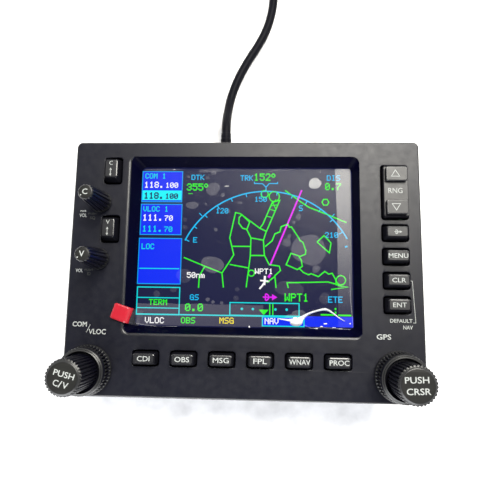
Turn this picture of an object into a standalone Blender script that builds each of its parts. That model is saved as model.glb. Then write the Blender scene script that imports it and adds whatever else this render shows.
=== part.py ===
"""Desktop GPS, radio and navigation control head, as an assembly that comes apart on a bench.

Frame: +X right and +Y to the top of the front face, +Z out of the face. The unit lies on its back, so the
origin is on the table, under the middle of the bezel. Lengths are in metres. Depths called "below" are measured
down from the bezel's front face, and heights called "above" are measured up from it.
"""

import math

import bmesh
import bpy
from mathutils import Matrix, Vector

# Front bezel, a tray that is open at the back
BEZEL_W = 0.15875
BEZEL_H = 0.1160
BEZEL_DEPTH = 0.0142
BEZEL_WALL = 0.0024
BEZEL_CORNER = 0.0025
FACE_EDGE = 0.0008
PLATE = 0.0030
FACE_Z = 0.0450
GAP = 0.0003

# Screen window: lip at the face, and the narrower inner end of its sloped walls
LIP_W = 0.1054
LIP_H = 0.0812
LIP_CENTRE = (-0.0003, 0.0104)
SIGHT_W = 0.0993
SIGHT_H = 0.0748
SIGHT_CENTRE = (0.00035, 0.0101)
FUNNEL_DEPTH = 0.0062
COLLAR_WALL = 0.0020
WINDOW_CORNER = 0.0026

# Display stack, depths below the face
GLASS_BELOW = 0.0071
GLASS_THICK = 0.0020
LCD_W = 0.11765
LCD_H = 0.08843
LCD_BELOW = 0.0068
LCD_THICK = 0.0056
CELL_W = 0.1028
CELL_H = 0.0774
FILM_BELOW = 0.0066
FILM_THICK = 0.0002

# Keys: places, opening in the plate, top face; travel and inside sizes
KEY_ABOVE = 0.0042
KEY_CLEARANCE = 0.00035
KEY_FLANGE = 0.0010
KEY_STEM = 0.0016
STEM_BELOW = 0.0061
FLANGE_THICK = 0.0012
KEY_CORNER = 0.0010
ROW_Y = -0.0409
ROW_X0 = -0.0423
ROW_PITCH = 0.01680
ROW_NAMES = ("key_cdi", "key_obs", "key_msg", "key_fpl", "key_vnav", "key_proc")
ROW_OPENING = (0.0120, 0.0069)
ROW_FACE = (0.0094, 0.0039)
COLUMN_X = 0.0676
COLUMN_Y0 = 0.0157
COLUMN_PITCH = 0.0106
COLUMN_NAMES = ("key_direct_to", "key_menu", "key_clear", "key_enter")
COLUMN_OPENING = (0.0118, 0.0077)
COLUMN_FACE = (0.0091, 0.0045)
SWAP_X = -0.0612
SWAP_KEYS = (("key_com_swap", 0.0440), ("key_nav_swap", 0.0165))
SWAP_OPENING = (0.0094, 0.0130)
SWAP_FACE = (0.0062, 0.0089)
SWAP_STEM_SHIFT = -0.0015

# Range rocker and its pivot
ROCKER_PLACE = (0.0678, 0.0343)
ROCKER_OPENING = (0.0119, 0.0250)
ROCKER_W = 0.0109
ROCKER_H = 0.0238
ROCKER_MID_ABOVE = 0.0028
ROCKER_PAD = (0.0094, 0.0066)
ROCKER_PAD_ABOVE = 0.0048
ROCKER_PAD_Y = 0.0075
ROCKER_STEM_Y = 0.0085
PIVOT_BELOW = 0.0055
PIN_R = 0.0010
PIN_HOLE_R = 0.0013
PIN_LENGTH = 0.0154
LUG_X = 0.0070
LUG_SIZE = (0.0020, 0.0050)
LUG_BELOW = 0.0080

# Dual concentric knobs
KNOB_PLACES = (("com", -0.0676, -0.0463), ("gps", 0.0676, -0.0463))
RING_SKIRT_R = 0.01086
RING_FRONT_R = 0.00985
RING_BOTTOM = 0.0015
RING_ABOVE = 0.0112
RING_RECESS_R = 0.0080
RING_RECESS_FLOOR = 0.0085
RING_HOLLOW_R = 0.0076
RING_HOLLOW_TOP = 0.0052
INNER_KNOB_R = 0.0074
INNER_KNOB_ABOVE = 0.0263
INNER_KNOB_BOTTOM = 0.0095
OUTER_SHAFT_R = 0.0030
OUTER_BORE_R = 0.0018
INNER_SHAFT_R = 0.0015
ENCODER_SIDE = 0.0130
ENCODER_HEIGHT = 0.0075
BUSHING_R = 0.0044
BUSHING_BORE_R = 0.0033
BUSHING_ABOVE = 0.0030
BUSHING_HOLE_R = 0.0048
NUT_R = 0.0066
NUT_THICK = 0.0020

# Volume knobs
VOLUME_PLACES = (("com_volume", -0.0660, 0.0289), ("nav_volume", -0.0657, 0.0026))
VOLUME_TIP_R = 0.0032
VOLUME_WAIST_R = 0.0036
VOLUME_BASE_R = 0.0048
VOLUME_ABOVE = 0.0210
VOLUME_BOTTOM = 0.0012
VOLUME_SIDE = 0.0095
VOLUME_HEIGHT = 0.0065
VOLUME_BUSHING_R = 0.0030
VOLUME_HOLE_R = 0.0034
VOLUME_SHAFT_ABOVE = 0.0150

# Push switches under the inner shafts
PLUNGER_R = 0.0022
PLUNGER_THICK = 0.0012
WELL_R = 0.0036

# Boards, depths of their front sides below the face
KEY_BOARD_W = 0.1528
KEY_BOARD_H = 0.1100
KEY_BOARD_BELOW = 0.0122
BOARD_THICK = 0.0016
SWITCH_SIDE = 0.0060
SWITCH_HEIGHT = 0.0035
SWITCH_BUTTON = 0.0012
DISPLAY_BOARD_BELOW = 0.0159
DISPLAY_BOARD = (0.0900, 0.0600)
MAIN_BOARD_BELOW = 0.0244
MAIN_BOARD = (0.1100, 0.0760)
CHIP = (0.0140, 0.0140, 0.0014)
HEADER = (0.0100, 0.0080, 0.0058)
HEADER_Y = 0.0330
POST_PLACES = ((-0.050, -0.033), (0.050, -0.033), (-0.050, 0.033), (0.050, 0.033))
POST_R = 0.0026
PEG_R = 0.0012

# Rear housing, back cover with its pads and posts, and screws; heights above the table
HOUSING_W = 0.1500
HOUSING_H = 0.1080
HOUSING_WALL = 0.0022
HOUSING_CORNER = 0.0030
FLANGE_W = 0.1572
FLANGE_H = 0.1144
FLANGE_RIM = 0.0016
PAD_THICK = 0.0015
PAD_R = 0.0050
PAD_PLACES = ((-0.060, -0.042), (0.060, -0.042), (-0.060, 0.042), (0.060, 0.042))
COVER_BOTTOM = PAD_THICK + GAP
COVER_THICK = 0.0025
HOUSING_BOTTOM = COVER_BOTTOM + COVER_THICK + GAP
SCREW_PLACES = ((-0.0710, 0.0505), (0.0710, 0.0505), (-0.0530, -0.0500), (0.0530, -0.0500))
SCREW_R = 0.0014
SCREW_HOLE_R = 0.0017
SCREW_HEAD_R = 0.0028
SCREW_HEAD_THICK = 0.0010
SCREW_TOP = 0.0360
COUNTERBORE_R = 0.0032
COUNTERBORE_DEPTH = 0.0013
BOSS_R = 0.0034

# Cable, its gland, coil and plug
CABLE_R = 0.0024
CABLE_X = -0.0117
GLAND_Z = 0.0115
GLAND_R = 0.0040
GLAND_HOLE_R = 0.0043
GLAND_COLLAR_R = 0.0056
GLAND_TIP_R = 0.0032
GLAND_LENGTH = 0.0205
GLAND_IN = 0.0020
CABLE_ROUTE = (
    (-0.0117, 0.0757, 0.0115),
    (-0.0117, 0.0785, 0.0112),
    (-0.0117, 0.0825, 0.0096),
    (-0.0115, 0.0880, 0.0064),
    (-0.0108, 0.0950, 0.0030),
    (-0.0098, 0.1000, 0.0025),
    (-0.0064, 0.1100, 0.0025),
    (-0.0003, 0.1221, 0.0025),
    (0.0050, 0.1310, 0.0025),
    (0.0093, 0.1400, 0.0025),
    (0.0122, 0.1500, 0.0025),
    (0.0136, 0.1610, 0.0025),
    (0.0140, 0.1720, 0.0025),
    (0.0140, 0.1790, 0.0025),
)
COIL_CENTRE = (0.0440, 0.1985)
COIL_IN_R = 0.0178
COIL_OUT_R = 0.0326
COIL_TOP = 0.0146
TAIL_ROUTE = (
    (0.0620, 0.2290, 0.0112),
    (0.0670, 0.2291, 0.0092),
    (0.0730, 0.2293, 0.0062),
    (0.0790, 0.2294, 0.0049),
    (0.0840, 0.2294, 0.0046),
)
PLUG_BODY = (0.0240, 0.0150, 0.0080)
PLUG_SHELL = (0.0120, 0.0120, 0.0045)
PLUG_BOOT = 0.0070
PLUG_Z = 0.0046
TUBE_STEP = 0.0096

BLACK = (0.030, 0.030, 0.034)
SOFT_BLACK = (0.015, 0.015, 0.017)
KEY_GREY = (0.060, 0.061, 0.066)
BOARD_GREEN = (0.020, 0.110, 0.050)
STEEL = (0.62, 0.63, 0.65)
GLASS_DARK = (0.020, 0.020, 0.060)


def clear_scene():
    for obj in list(bpy.data.objects):
        bpy.data.objects.remove(obj)


def new_collection(name):
    collection = bpy.data.collections.new(name)
    bpy.context.scene.collection.children.link(collection)
    return collection


def finished(obj, colour, roughness=0.6, metallic=0.0):
    """Puts a part in the assembly with a material of its own."""
    material = bpy.data.materials.new(obj.name)
    material.use_nodes = True
    shader = material.node_tree.nodes["Principled BSDF"]
    shader.inputs["Base Color"].default_value = (*colour, 1.0)
    shader.inputs["Roughness"].default_value = roughness
    shader.inputs["Metallic"].default_value = metallic
    obj.data.materials.append(material)
    parts.objects.link(obj)
    return obj


def hidden(obj):
    """Puts a cutter or an addition where it isn't rendered."""
    cutters.objects.link(obj)
    obj.hide_render = True
    obj.display_type = "WIRE"
    return obj


def object_of(name, bm, place=(0.0, 0.0, 0.0)):
    mesh = bpy.data.meshes.new(name)
    bm.to_mesh(mesh)
    bm.free()
    obj = bpy.data.objects.new(name, mesh)
    obj.location = place
    return obj


def add_box(bm, size, centre, corner=0.0, segments=3):
    """A box with rounded upright corners, added to bm; returns its vertices."""
    made = bmesh.ops.create_cube(bm, size=1.0)["verts"]
    bmesh.ops.scale(bm, vec=size, verts=made)
    bmesh.ops.translate(bm, vec=centre, verts=made)
    if corner:
        edges = {e for v in made for e in v.link_edges}
        upright = [e for e in edges if abs(e.verts[0].co.z - e.verts[1].co.z) > size[2] / 2]
        made = rounded(bm, upright, corner, segments)
    return made


def rounded(bm, edges, width, segments):
    """Bevels edges and returns the vertices of the body they belong to."""
    faces = bmesh.ops.bevel(
        bm, geom=edges, offset=width, segments=segments, affect="EDGES", profile=0.5
    )["faces"]
    found = set(faces[0].verts)
    todo = list(found)
    while todo:
        vert = todo.pop()
        for edge in vert.link_edges:
            other = edge.other_vert(vert)
            if other not in found:
                found.add(other)
                todo.append(other)
    return list(found)


def add_drum(bm, radius, low, high, place, segments=16):
    """An upright cylinder from z low to z high, added to bm."""
    made = bmesh.ops.create_cone(
        bm, cap_ends=True, segments=segments, radius1=radius, radius2=radius, depth=high - low
    )["verts"]
    bmesh.ops.translate(bm, vec=(place[0], place[1], (low + high) / 2), verts=made)
    return made


def span_box(bm, width, height, low, high, place, corner=0.0, segments=3):
    """A box given by its XY size and place and its z span, added to bm."""
    centre = (place[0], place[1], (low + high) / 2)
    return add_box(bm, (width, height, high - low), centre, corner, segments)


def combine(obj, operation, other):
    """Cuts or joins another object by an exact Boolean."""
    modifier = obj.modifiers.new(other.name, "BOOLEAN")
    modifier.operation = operation
    modifier.solver = "EXACT"
    modifier.object = other
    return obj


def turned(name, profile, place, ring=False, steps=28):
    """A part turned about its own Z from (radius, z) points that run down the outer side."""
    mesh = bpy.data.meshes.new(name)
    points = [(radius, 0.0, z) for radius, z in profile]
    edges = [(i, i + 1) for i in range(len(points) - 1)]
    if ring:
        edges.append((len(points) - 1, 0))
    mesh.from_pydata(points, edges, [])
    obj = bpy.data.objects.new(name, mesh)
    obj.location = place
    screw = obj.modifiers.new("turn", "SCREW")
    screw.steps = steps
    screw.render_steps = steps
    screw.use_merge_vertices = True
    screw.merge_threshold = 0.00001
    screw.use_smooth_shade = True
    return obj


def smooth_route(route, step):
    """Points about a step apart along a Catmull-Rom curve through the route's points."""
    knots = [Vector(p) for p in route]
    knots = [2 * knots[0] - knots[1], *knots, 2 * knots[-1] - knots[-2]]
    fine = []
    for a, b, c, d in zip(knots, knots[1:], knots[2:], knots[3:]):
        for i in range(12):
            t = i / 12
            fine.append(
                0.5 * (2 * b + (c - a) * t + (2 * a - 5 * b + 4 * c - d) * t**2 + (3 * b - a - 3 * c + d) * t**3)
            )
    fine.append(knots[-2])
    lengths = [0.0]
    for p, q in zip(fine, fine[1:]):
        lengths.append(lengths[-1] + (q - p).length)
    count = max(2, round(lengths[-1] / step))
    found = []
    at = 0
    for i in range(count + 1):
        wanted = lengths[-1] * i / count
        while at < len(fine) - 2 and lengths[at + 1] < wanted:
            at += 1
        share = (wanted - lengths[at]) / max(lengths[at + 1] - lengths[at], 1e-9)
        found.append(fine[at].lerp(fine[at + 1], min(share, 1.0)))
    return found


def tube(name, route, radius, step):
    """A cable along a smooth curve through the route's points."""
    points = smooth_route(route, step)
    curve = bpy.data.curves.new(name, "CURVE")
    curve.dimensions = "3D"
    curve.bevel_depth = radius
    curve.bevel_resolution = 2
    curve.use_fill_caps = True
    spline = curve.splines.new("POLY")
    spline.points.add(len(points) - 1)
    for spot, point in zip(spline.points, points):
        spot.co = (*point, 1.0)
    return bpy.data.objects.new(name, curve)


def bent_sheet(name, path, width, thick, place, turn):
    """A strip of the given width whose side view follows path, (x, z) points, turned about Z."""
    bm = bmesh.new()
    sides = []
    for side in (-width / 2, width / 2):
        sides.append([bm.verts.new((x, side, z)) for x, z in path])
    for (a, b), (c, d) in zip(zip(sides[0], sides[0][1:]), zip(sides[1], sides[1][1:])):
        bm.faces.new((a, b, d, c))
    obj = object_of(name, bm, place)
    obj.rotation_euler = (0.0, 0.0, turn)
    solid = obj.modifiers.new("thickness", "SOLIDIFY")
    solid.thickness = thick
    solid.offset = 0.0
    return obj


def stepped_out(bm, face, grow_x, grow_y, drop):
    """Extrudes a face, then moves it down and its points outwards; returns the new face."""
    face = bmesh.ops.extrude_discrete_faces(bm, faces=[face])["faces"][0]
    middle = face.calc_center_median()
    for vert in face.verts:
        vert.co.x += grow_x if vert.co.x > middle.x else -grow_x
        vert.co.y += grow_y if vert.co.y > middle.y else -grow_y
        vert.co.z -= drop
    return face


def key_places():
    """Name, place, opening, top face and stem shift of each key."""
    found = []
    for i, name in enumerate(ROW_NAMES):
        found.append((name, (ROW_X0 + i * ROW_PITCH, ROW_Y), ROW_OPENING, ROW_FACE, 0.0))
    for i, name in enumerate(COLUMN_NAMES):
        place = (COLUMN_X, COLUMN_Y0 - i * COLUMN_PITCH)
        found.append((name, place, COLUMN_OPENING, COLUMN_FACE, 0.0))
    for name, y in SWAP_KEYS:
        found.append((name, (SWAP_X, y), SWAP_OPENING, SWAP_FACE, SWAP_STEM_SHIFT))
    return found


def window_cutter(bm):
    """The sloped well of the screen window, from under the collar to above the face."""
    below = FUNNEL_DEPTH + 0.001
    above = 0.001
    made = add_box(bm, (1.0, 1.0, below + above), (0.0, 0.0, 0.0))
    for vert in made:
        depth = below if vert.co.z < 0 else -above
        share = depth / FUNNEL_DEPTH
        width = LIP_W + (SIGHT_W - LIP_W) * share
        height = LIP_H + (SIGHT_H - LIP_H) * share
        middle_x = LIP_CENTRE[0] + (SIGHT_CENTRE[0] - LIP_CENTRE[0]) * share
        middle_y = LIP_CENTRE[1] + (SIGHT_CENTRE[1] - LIP_CENTRE[1]) * share
        vert.co.x = middle_x + math.copysign(width / 2, vert.co.x)
        vert.co.y = middle_y + math.copysign(height / 2, vert.co.y)
        vert.co.z = FACE_Z - depth
    edges = {e for v in made for e in v.link_edges}
    sloped = [e for e in edges if abs(e.verts[0].co.z - e.verts[1].co.z) > below / 2]
    rounded(bm, sloped, WINDOW_CORNER, 3)


def front_bezel():
    bm = bmesh.new()
    low = FACE_Z - BEZEL_DEPTH
    span_box(bm, BEZEL_W, BEZEL_H, low, FACE_Z, (0.0, 0.0), BEZEL_CORNER)
    rim = [e for e in bm.edges if all(v.co.z > FACE_Z - 1e-5 for v in e.verts)]
    rounded(bm, rim, FACE_EDGE, 2)
    bezel = object_of("front_bezel", bm)

    bm = bmesh.new()
    inner = 2 * BEZEL_WALL
    span_box(bm, BEZEL_W - inner, BEZEL_H - inner, low - 0.01, FACE_Z - PLATE, (0.0, 0.0), 0.0015)
    combine(bezel, "DIFFERENCE", hidden(object_of("bezel_cavity", bm)))

    bm = bmesh.new()
    wall = 2 * COLLAR_WALL
    under_plate = FACE_Z - PLATE + 0.001
    span_box(bm, LIP_W + wall, LIP_H + wall, FACE_Z - FUNNEL_DEPTH, under_plate, LIP_CENTRE, 0.003)
    for side in (-LUG_X, LUG_X):
        place = (ROCKER_PLACE[0] + side, ROCKER_PLACE[1])
        span_box(bm, *LUG_SIZE, FACE_Z - LUG_BELOW, under_plate, place)
    for place in SCREW_PLACES:
        add_drum(bm, BOSS_R, low, under_plate, place)
    combine(bezel, "UNION", hidden(object_of("bezel_collar_and_bosses", bm)))

    bm = bmesh.new()
    window_cutter(bm)
    through = (FACE_Z - PLATE - 0.0005, FACE_Z + 0.001)
    for _, place, opening, _, _ in key_places():
        span_box(bm, *opening, *through, place, 0.0012)
    span_box(bm, *ROCKER_OPENING, *through, ROCKER_PLACE, 0.0012)
    for _, x, y in KNOB_PLACES:
        add_drum(bm, BUSHING_HOLE_R, *through, (x, y), 24)
    for _, x, y in VOLUME_PLACES:
        add_drum(bm, VOLUME_HOLE_R, *through, (x, y), 20)
    for place in SCREW_PLACES:
        add_drum(bm, SCREW_HOLE_R, low - 0.001, SCREW_TOP + 0.001, place)
    pin = bmesh.ops.create_cone(
        bm, cap_ends=True, segments=16, radius1=PIN_HOLE_R, radius2=PIN_HOLE_R, depth=PIN_LENGTH + 2 * GAP
    )["verts"]
    bmesh.ops.rotate(bm, verts=pin, matrix=Matrix.Rotation(math.pi / 2, 3, "Y"))
    bmesh.ops.translate(bm, verts=pin, vec=(*ROCKER_PLACE, FACE_Z - PIVOT_BELOW))
    combine(bezel, "DIFFERENCE", hidden(object_of("bezel_openings", bm)))
    finished(bezel, BLACK, 0.75)


def rear_housing():
    top = FACE_Z - BEZEL_DEPTH - GAP
    bm = bmesh.new()
    span_box(bm, HOUSING_W, HOUSING_H, HOUSING_BOTTOM, top, (0.0, 0.0), HOUSING_CORNER)
    housing = object_of("rear_housing", bm)

    bm = bmesh.new()
    span_box(bm, FLANGE_W, FLANGE_H, top - FLANGE_RIM, top, (0.0, 0.0), BEZEL_CORNER)
    combine(housing, "UNION", hidden(object_of("housing_flange", bm)))

    bm = bmesh.new()
    inner = 2 * HOUSING_WALL
    span = (HOUSING_BOTTOM - 0.001, top + 0.001)
    span_box(bm, HOUSING_W - inner, HOUSING_H - inner, *span, (0.0, 0.0), 0.0015)
    combine(housing, "DIFFERENCE", hidden(object_of("housing_cavity", bm)))

    bm = bmesh.new()
    for place in SCREW_PLACES:
        add_drum(bm, BOSS_R, HOUSING_BOTTOM, top, place)
    combine(housing, "UNION", hidden(object_of("housing_bosses", bm)))

    bm = bmesh.new()
    for place in SCREW_PLACES:
        add_drum(bm, SCREW_HOLE_R, *span, place)
    gland = add_drum(bm, GLAND_HOLE_R, -0.004, 0.004, (0.0, 0.0), 20)
    bmesh.ops.rotate(bm, verts=gland, matrix=Matrix.Rotation(math.pi / 2, 3, "X"))
    bmesh.ops.translate(bm, verts=gland, vec=(CABLE_X, HOUSING_H / 2 - HOUSING_WALL / 2, GLAND_Z))
    combine(housing, "DIFFERENCE", hidden(object_of("housing_holes", bm)))
    finished(housing, BLACK, 0.7)


def back_cover():
    """The cover, with moulded pads that it stands on and pegged posts that carry the main board."""
    bm = bmesh.new()
    top = COVER_BOTTOM + COVER_THICK
    span_box(bm, HOUSING_W, HOUSING_H, COVER_BOTTOM, top, (0.0, 0.0), HOUSING_CORNER)
    cover = object_of("back_cover", bm)
    bm = bmesh.new()
    for place in PAD_PLACES:
        add_drum(bm, PAD_R, 0.0, COVER_BOTTOM + 0.001, place, 20)
    board_bottom = FACE_Z - MAIN_BOARD_BELOW - BOARD_THICK
    for place in POST_PLACES:
        post = (POST_R, top - 0.001, board_bottom - GAP)
        add_stepped_pin(bm, place, post, (PEG_R, post[2], board_bottom + BOARD_THICK + 0.0010))
    combine(cover, "UNION", hidden(object_of("cover_pads_and_posts", bm)))
    bm = bmesh.new()
    for place in SCREW_PLACES:
        add_drum(bm, SCREW_HOLE_R, COVER_BOTTOM - 0.001, top + 0.001, place)
    combine(cover, "DIFFERENCE", hidden(object_of("cover_holes", bm)))
    bm = bmesh.new()
    for place in SCREW_PLACES:
        add_drum(bm, COUNTERBORE_R, COVER_BOTTOM - 0.001, COVER_BOTTOM + COUNTERBORE_DEPTH, place)
    combine(cover, "DIFFERENCE", hidden(object_of("cover_counterbores", bm)))
    finished(cover, BLACK, 0.7)


def add_stepped_pin(bm, place, head, shank, segments=12):
    """A stepped round body: head and shank are (radius, z from, z to), and the shank goes up from the head."""
    made = add_drum(bm, head[0], head[1], head[2], place, segments)
    faces = {f for v in made for f in v.link_faces}
    end = max(faces, key=lambda f: f.calc_center_median().z)
    bmesh.ops.inset_individual(bm, faces=[end], thickness=head[0] - shank[0])
    end = bmesh.ops.extrude_discrete_faces(bm, faces=[end])["faces"][0]
    for vert in end.verts:
        vert.co.z = shank[2]


def cover_screws():
    head_low = COVER_BOTTOM + COUNTERBORE_DEPTH - GAP - SCREW_HEAD_THICK
    head_high = head_low + SCREW_HEAD_THICK
    for i, place in enumerate(SCREW_PLACES):
        bm = bmesh.new()
        head = (SCREW_HEAD_R, 0.0, head_high - head_low)
        add_stepped_pin(bm, (0.0, 0.0), head, (SCREW_R, head[2], SCREW_TOP - head_low))
        screw = object_of(f"cover_screw_{i + 1}", bm, (*place, head_low))
        finished(screw, STEEL, 0.35, 1.0)


def display():
    """The LCD from the glass to the backlight, its driver board and ribbon, and the film on the glass."""
    bm = bmesh.new()
    top = FACE_Z - LCD_BELOW
    span_box(bm, LCD_W, LCD_H, top - LCD_THICK, top, SIGHT_CENTRE)
    frame = object_of("lcd_frame", bm)
    bm = bmesh.new()
    room = 2 * GAP
    span_box(bm, CELL_W + room, CELL_H + room, top - LCD_THICK - 0.001, top + 0.001, SIGHT_CENTRE)
    combine(frame, "DIFFERENCE", hidden(object_of("lcd_frame_opening", bm)))
    finished(frame, STEEL, 0.4, 1.0)

    bm = bmesh.new()
    glass_top = FACE_Z - GLASS_BELOW
    span_box(bm, CELL_W, CELL_H, glass_top - GLASS_THICK, glass_top, SIGHT_CENTRE)
    finished(object_of("lcd_panel", bm), GLASS_DARK, 0.1)

    bm = bmesh.new()
    span_box(bm, CELL_W, CELL_H, top - LCD_THICK, glass_top - GLASS_THICK - GAP, SIGHT_CENTRE)
    finished(object_of("backlight_unit", bm), (0.85, 0.86, 0.88), 0.5)

    bm = bmesh.new()
    film_top = FACE_Z - FILM_BELOW
    room = 2 * GAP
    span_box(bm, SIGHT_W - room, SIGHT_H - room, film_top - FILM_THICK, film_top, SIGHT_CENTRE, 0.001)
    finished(object_of("protective_film", bm), (0.8, 0.82, 0.85), 0.15)

    path = ((0.0078, -0.0057), (0.0056, -0.0026), (0.0031, 0.0009), (0.0008, 0.0013), (-0.0040, 0.0013))
    tab = bent_sheet("film_pull_tab", path, 0.0071, 0.0002, (-0.0540, -0.0215, FACE_Z), -0.315)
    finished(tab, (0.75, 0.02, 0.02), 0.35)

    bm = bmesh.new()
    board_top = FACE_Z - DISPLAY_BOARD_BELOW
    span_box(bm, *DISPLAY_BOARD, board_top - BOARD_THICK, board_top, (0.0, 0.0100))
    finished(object_of("display_board", bm), BOARD_GREEN, 0.5)

    path = ((0.0, 0.0), (0.005, -0.0002), (0.009, -0.0010), (0.013, -0.0020), (0.018, -0.0022))
    ribbon_z = FACE_Z - LCD_BELOW - LCD_THICK - 0.0006
    ribbon = bent_sheet("lcd_ribbon", path, 0.0200, 0.0002, (0.0, -0.0300, ribbon_z), math.pi / 2)
    finished(ribbon, (0.45, 0.20, 0.03), 0.4)


def board(name, size, top, holes, hole_r):
    bm = bmesh.new()
    span_box(bm, *size, top - BOARD_THICK, top, (0.0, 0.0))
    plate = object_of(name, bm)
    bm = bmesh.new()
    for place in holes:
        add_drum(bm, hole_r, top - BOARD_THICK - 0.001, top + 0.001, place)
    combine(plate, "DIFFERENCE", hidden(object_of(name + "_holes", bm)))
    return plate


def switch_places():
    found = [(x + shift, y) for _, (x, y), _, _, shift in key_places()]
    for side in (-ROCKER_STEM_Y, ROCKER_STEM_Y):
        found.append((ROCKER_PLACE[0], ROCKER_PLACE[1] + side))
    return found


def key_board():
    """The board round the display, open at its top, with a soldered switch under each key."""
    top = FACE_Z - KEY_BOARD_BELOW
    plate = board("key_board", (KEY_BOARD_W, KEY_BOARD_H), top, SCREW_PLACES, BOSS_R + GAP)
    bm = bmesh.new()
    low = SIGHT_CENTRE[1] - LCD_H / 2 - GAP
    span = (top - BOARD_THICK - 0.001, top + 0.001)
    span_box(bm, LCD_W + 2 * GAP, 0.1000, *span, (SIGHT_CENTRE[0], low + 0.0500))
    combine(plate, "DIFFERENCE", hidden(object_of("key_board_notch", bm)))
    bm = bmesh.new()
    for place in switch_places():
        made = span_box(bm, SWITCH_SIDE, SWITCH_SIDE, top - 0.0005, top + GAP + SWITCH_HEIGHT, place)
        faces = {f for v in made for f in v.link_faces}
        lid = max(faces, key=lambda f: f.calc_center_median().z)
        shrink = KEY_STEM - SWITCH_SIDE / 2
        button = stepped_out(bm, lid, shrink, shrink, 0.0)
        stepped_out(bm, button, 0.0, 0.0, -SWITCH_BUTTON)
    combine(plate, "UNION", hidden(object_of("key_switches", bm)))
    finished(plate, BOARD_GREEN, 0.5)


def inner_boards():
    top = FACE_Z - MAIN_BOARD_BELOW
    finished(board("main_board", MAIN_BOARD, top, POST_PLACES, PEG_R + GAP), BOARD_GREEN, 0.5)

    bm = bmesh.new()
    add_box(bm, CHIP, (0.0180, -0.0050, top + GAP + CHIP[2] / 2), 0.0006, 1)
    finished(object_of("processor_chip", bm), SOFT_BLACK, 0.4)

    bm = bmesh.new()
    add_box(bm, HEADER, (CABLE_X, HEADER_Y, top + GAP + HEADER[2] / 2), 0.0004, 1)
    finished(object_of("usb_header", bm), (0.75, 0.74, 0.70), 0.5)


def key(name, place, opening, face, stem_shift):
    """A tapered cap, a flange that keeps it behind the plate and a stem over its switch."""
    bm = bmesh.new()
    width = opening[0] - 2 * KEY_CLEARANCE
    height = opening[1] - 2 * KEY_CLEARANCE
    low = -PLATE - GAP
    made = span_box(bm, width, height, low, KEY_ABOVE, (0.0, 0.0))
    for vert in made:
        if vert.co.z > 0:
            vert.co.x *= face[0] / width
            vert.co.y *= face[1] / height
    upright = [e for e in bm.edges if abs(e.verts[0].co.z - e.verts[1].co.z) > KEY_ABOVE / 2]
    rounded(bm, upright, KEY_CORNER, 2)
    rim = [e for e in bm.edges if all(v.co.z > KEY_ABOVE - 1e-5 for v in e.verts)]
    rounded(bm, rim, 0.0005, 2)
    face_down = min(bm.faces, key=lambda f: f.calc_center_median().z)
    flange = stepped_out(bm, face_down, KEY_FLANGE, KEY_FLANGE, 0.0)
    flange = stepped_out(bm, flange, 0.0, 0.0, FLANGE_THICK)
    shrink_x = KEY_STEM - width / 2 - KEY_FLANGE
    shrink_y = KEY_STEM - height / 2 - KEY_FLANGE
    stem = stepped_out(bm, flange, shrink_x, shrink_y, 0.0)
    for vert in stem.verts:
        vert.co.x += stem_shift
    stepped_out(bm, stem, 0.0, 0.0, STEM_BELOW + low - FLANGE_THICK)
    finished(object_of(name, bm, (*place, FACE_Z)), KEY_GREY, 0.45)


def range_rocker():
    """The two-way range key, with its origin on its pivot."""
    bm = bmesh.new()
    face = PIVOT_BELOW
    low = face - PLATE - GAP
    span_box(bm, ROCKER_W, ROCKER_H, low, face + ROCKER_MID_ABOVE, (0.0, 0.0), 0.0012)
    rocker = object_of("range_rocker", bm, (*ROCKER_PLACE, FACE_Z - PIVOT_BELOW))

    bm = bmesh.new()
    for side in (-1, 1):
        top = face + ROCKER_PAD_ABOVE
        span_box(bm, *ROCKER_PAD, face + 0.002, top, (0.0, side * ROCKER_PAD_Y), 0.0010, 2)
        stem = 2 * KEY_STEM
        span_box(bm, stem, stem, face - STEM_BELOW, low + 0.0005, (0.0, side * ROCKER_STEM_Y))
    span_box(bm, 0.0080, 0.0046, -0.0021, low + 0.0005, (0.0, 0.0))
    additions = hidden(object_of("rocker_pads_and_rib", bm, rocker.location))
    combine(rocker, "UNION", additions)

    bm = bmesh.new()
    hole = add_drum(bm, PIN_HOLE_R, -0.006, 0.006, (0.0, 0.0))
    bmesh.ops.rotate(bm, verts=hole, matrix=Matrix.Rotation(math.pi / 2, 3, "Y"))
    combine(rocker, "DIFFERENCE", hidden(object_of("rocker_pin_hole", bm, rocker.location)))
    finished(rocker, KEY_GREY, 0.45)

    bm = bmesh.new()
    pin = add_drum(bm, PIN_R, -PIN_LENGTH / 2, PIN_LENGTH / 2, (0.0, 0.0), 12)
    bmesh.ops.rotate(bm, verts=pin, matrix=Matrix.Rotation(math.pi / 2, 3, "Y"))
    finished(object_of("rocker_pin", bm, rocker.location), STEEL, 0.3, 1.0)


def encoder(name, side, height, bushing_r, bore_r, bushing_above, place):
    """A square encoder with a round bushing, and a well for its shafts and push switch."""
    low = FACE_Z - KEY_BOARD_BELOW + GAP
    bm = bmesh.new()
    span_box(bm, side, side, low, low + height, place, 0.0006, 1)
    body = object_of(name, bm)
    bm = bmesh.new()
    add_drum(bm, bushing_r, low + height - 0.001, FACE_Z + bushing_above, place, 24)
    combine(body, "UNION", hidden(object_of(name + "_bushing", bm)))
    well_floor = low + 0.0008
    well_top = low + height - 0.0012
    above_bushing = FACE_Z + bushing_above + 0.001
    profile = (
        (0.0, above_bushing),
        (bore_r, above_bushing),
        (bore_r, well_top),
        (WELL_R, well_top),
        (WELL_R, well_floor),
        (0.0, well_floor),
    )
    combine(body, "DIFFERENCE", hidden(turned(name + "_well", profile, (*place, 0.0), False, 20)))
    finished(body, (0.35, 0.36, 0.38), 0.4, 0.6)
    return well_floor


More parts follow.
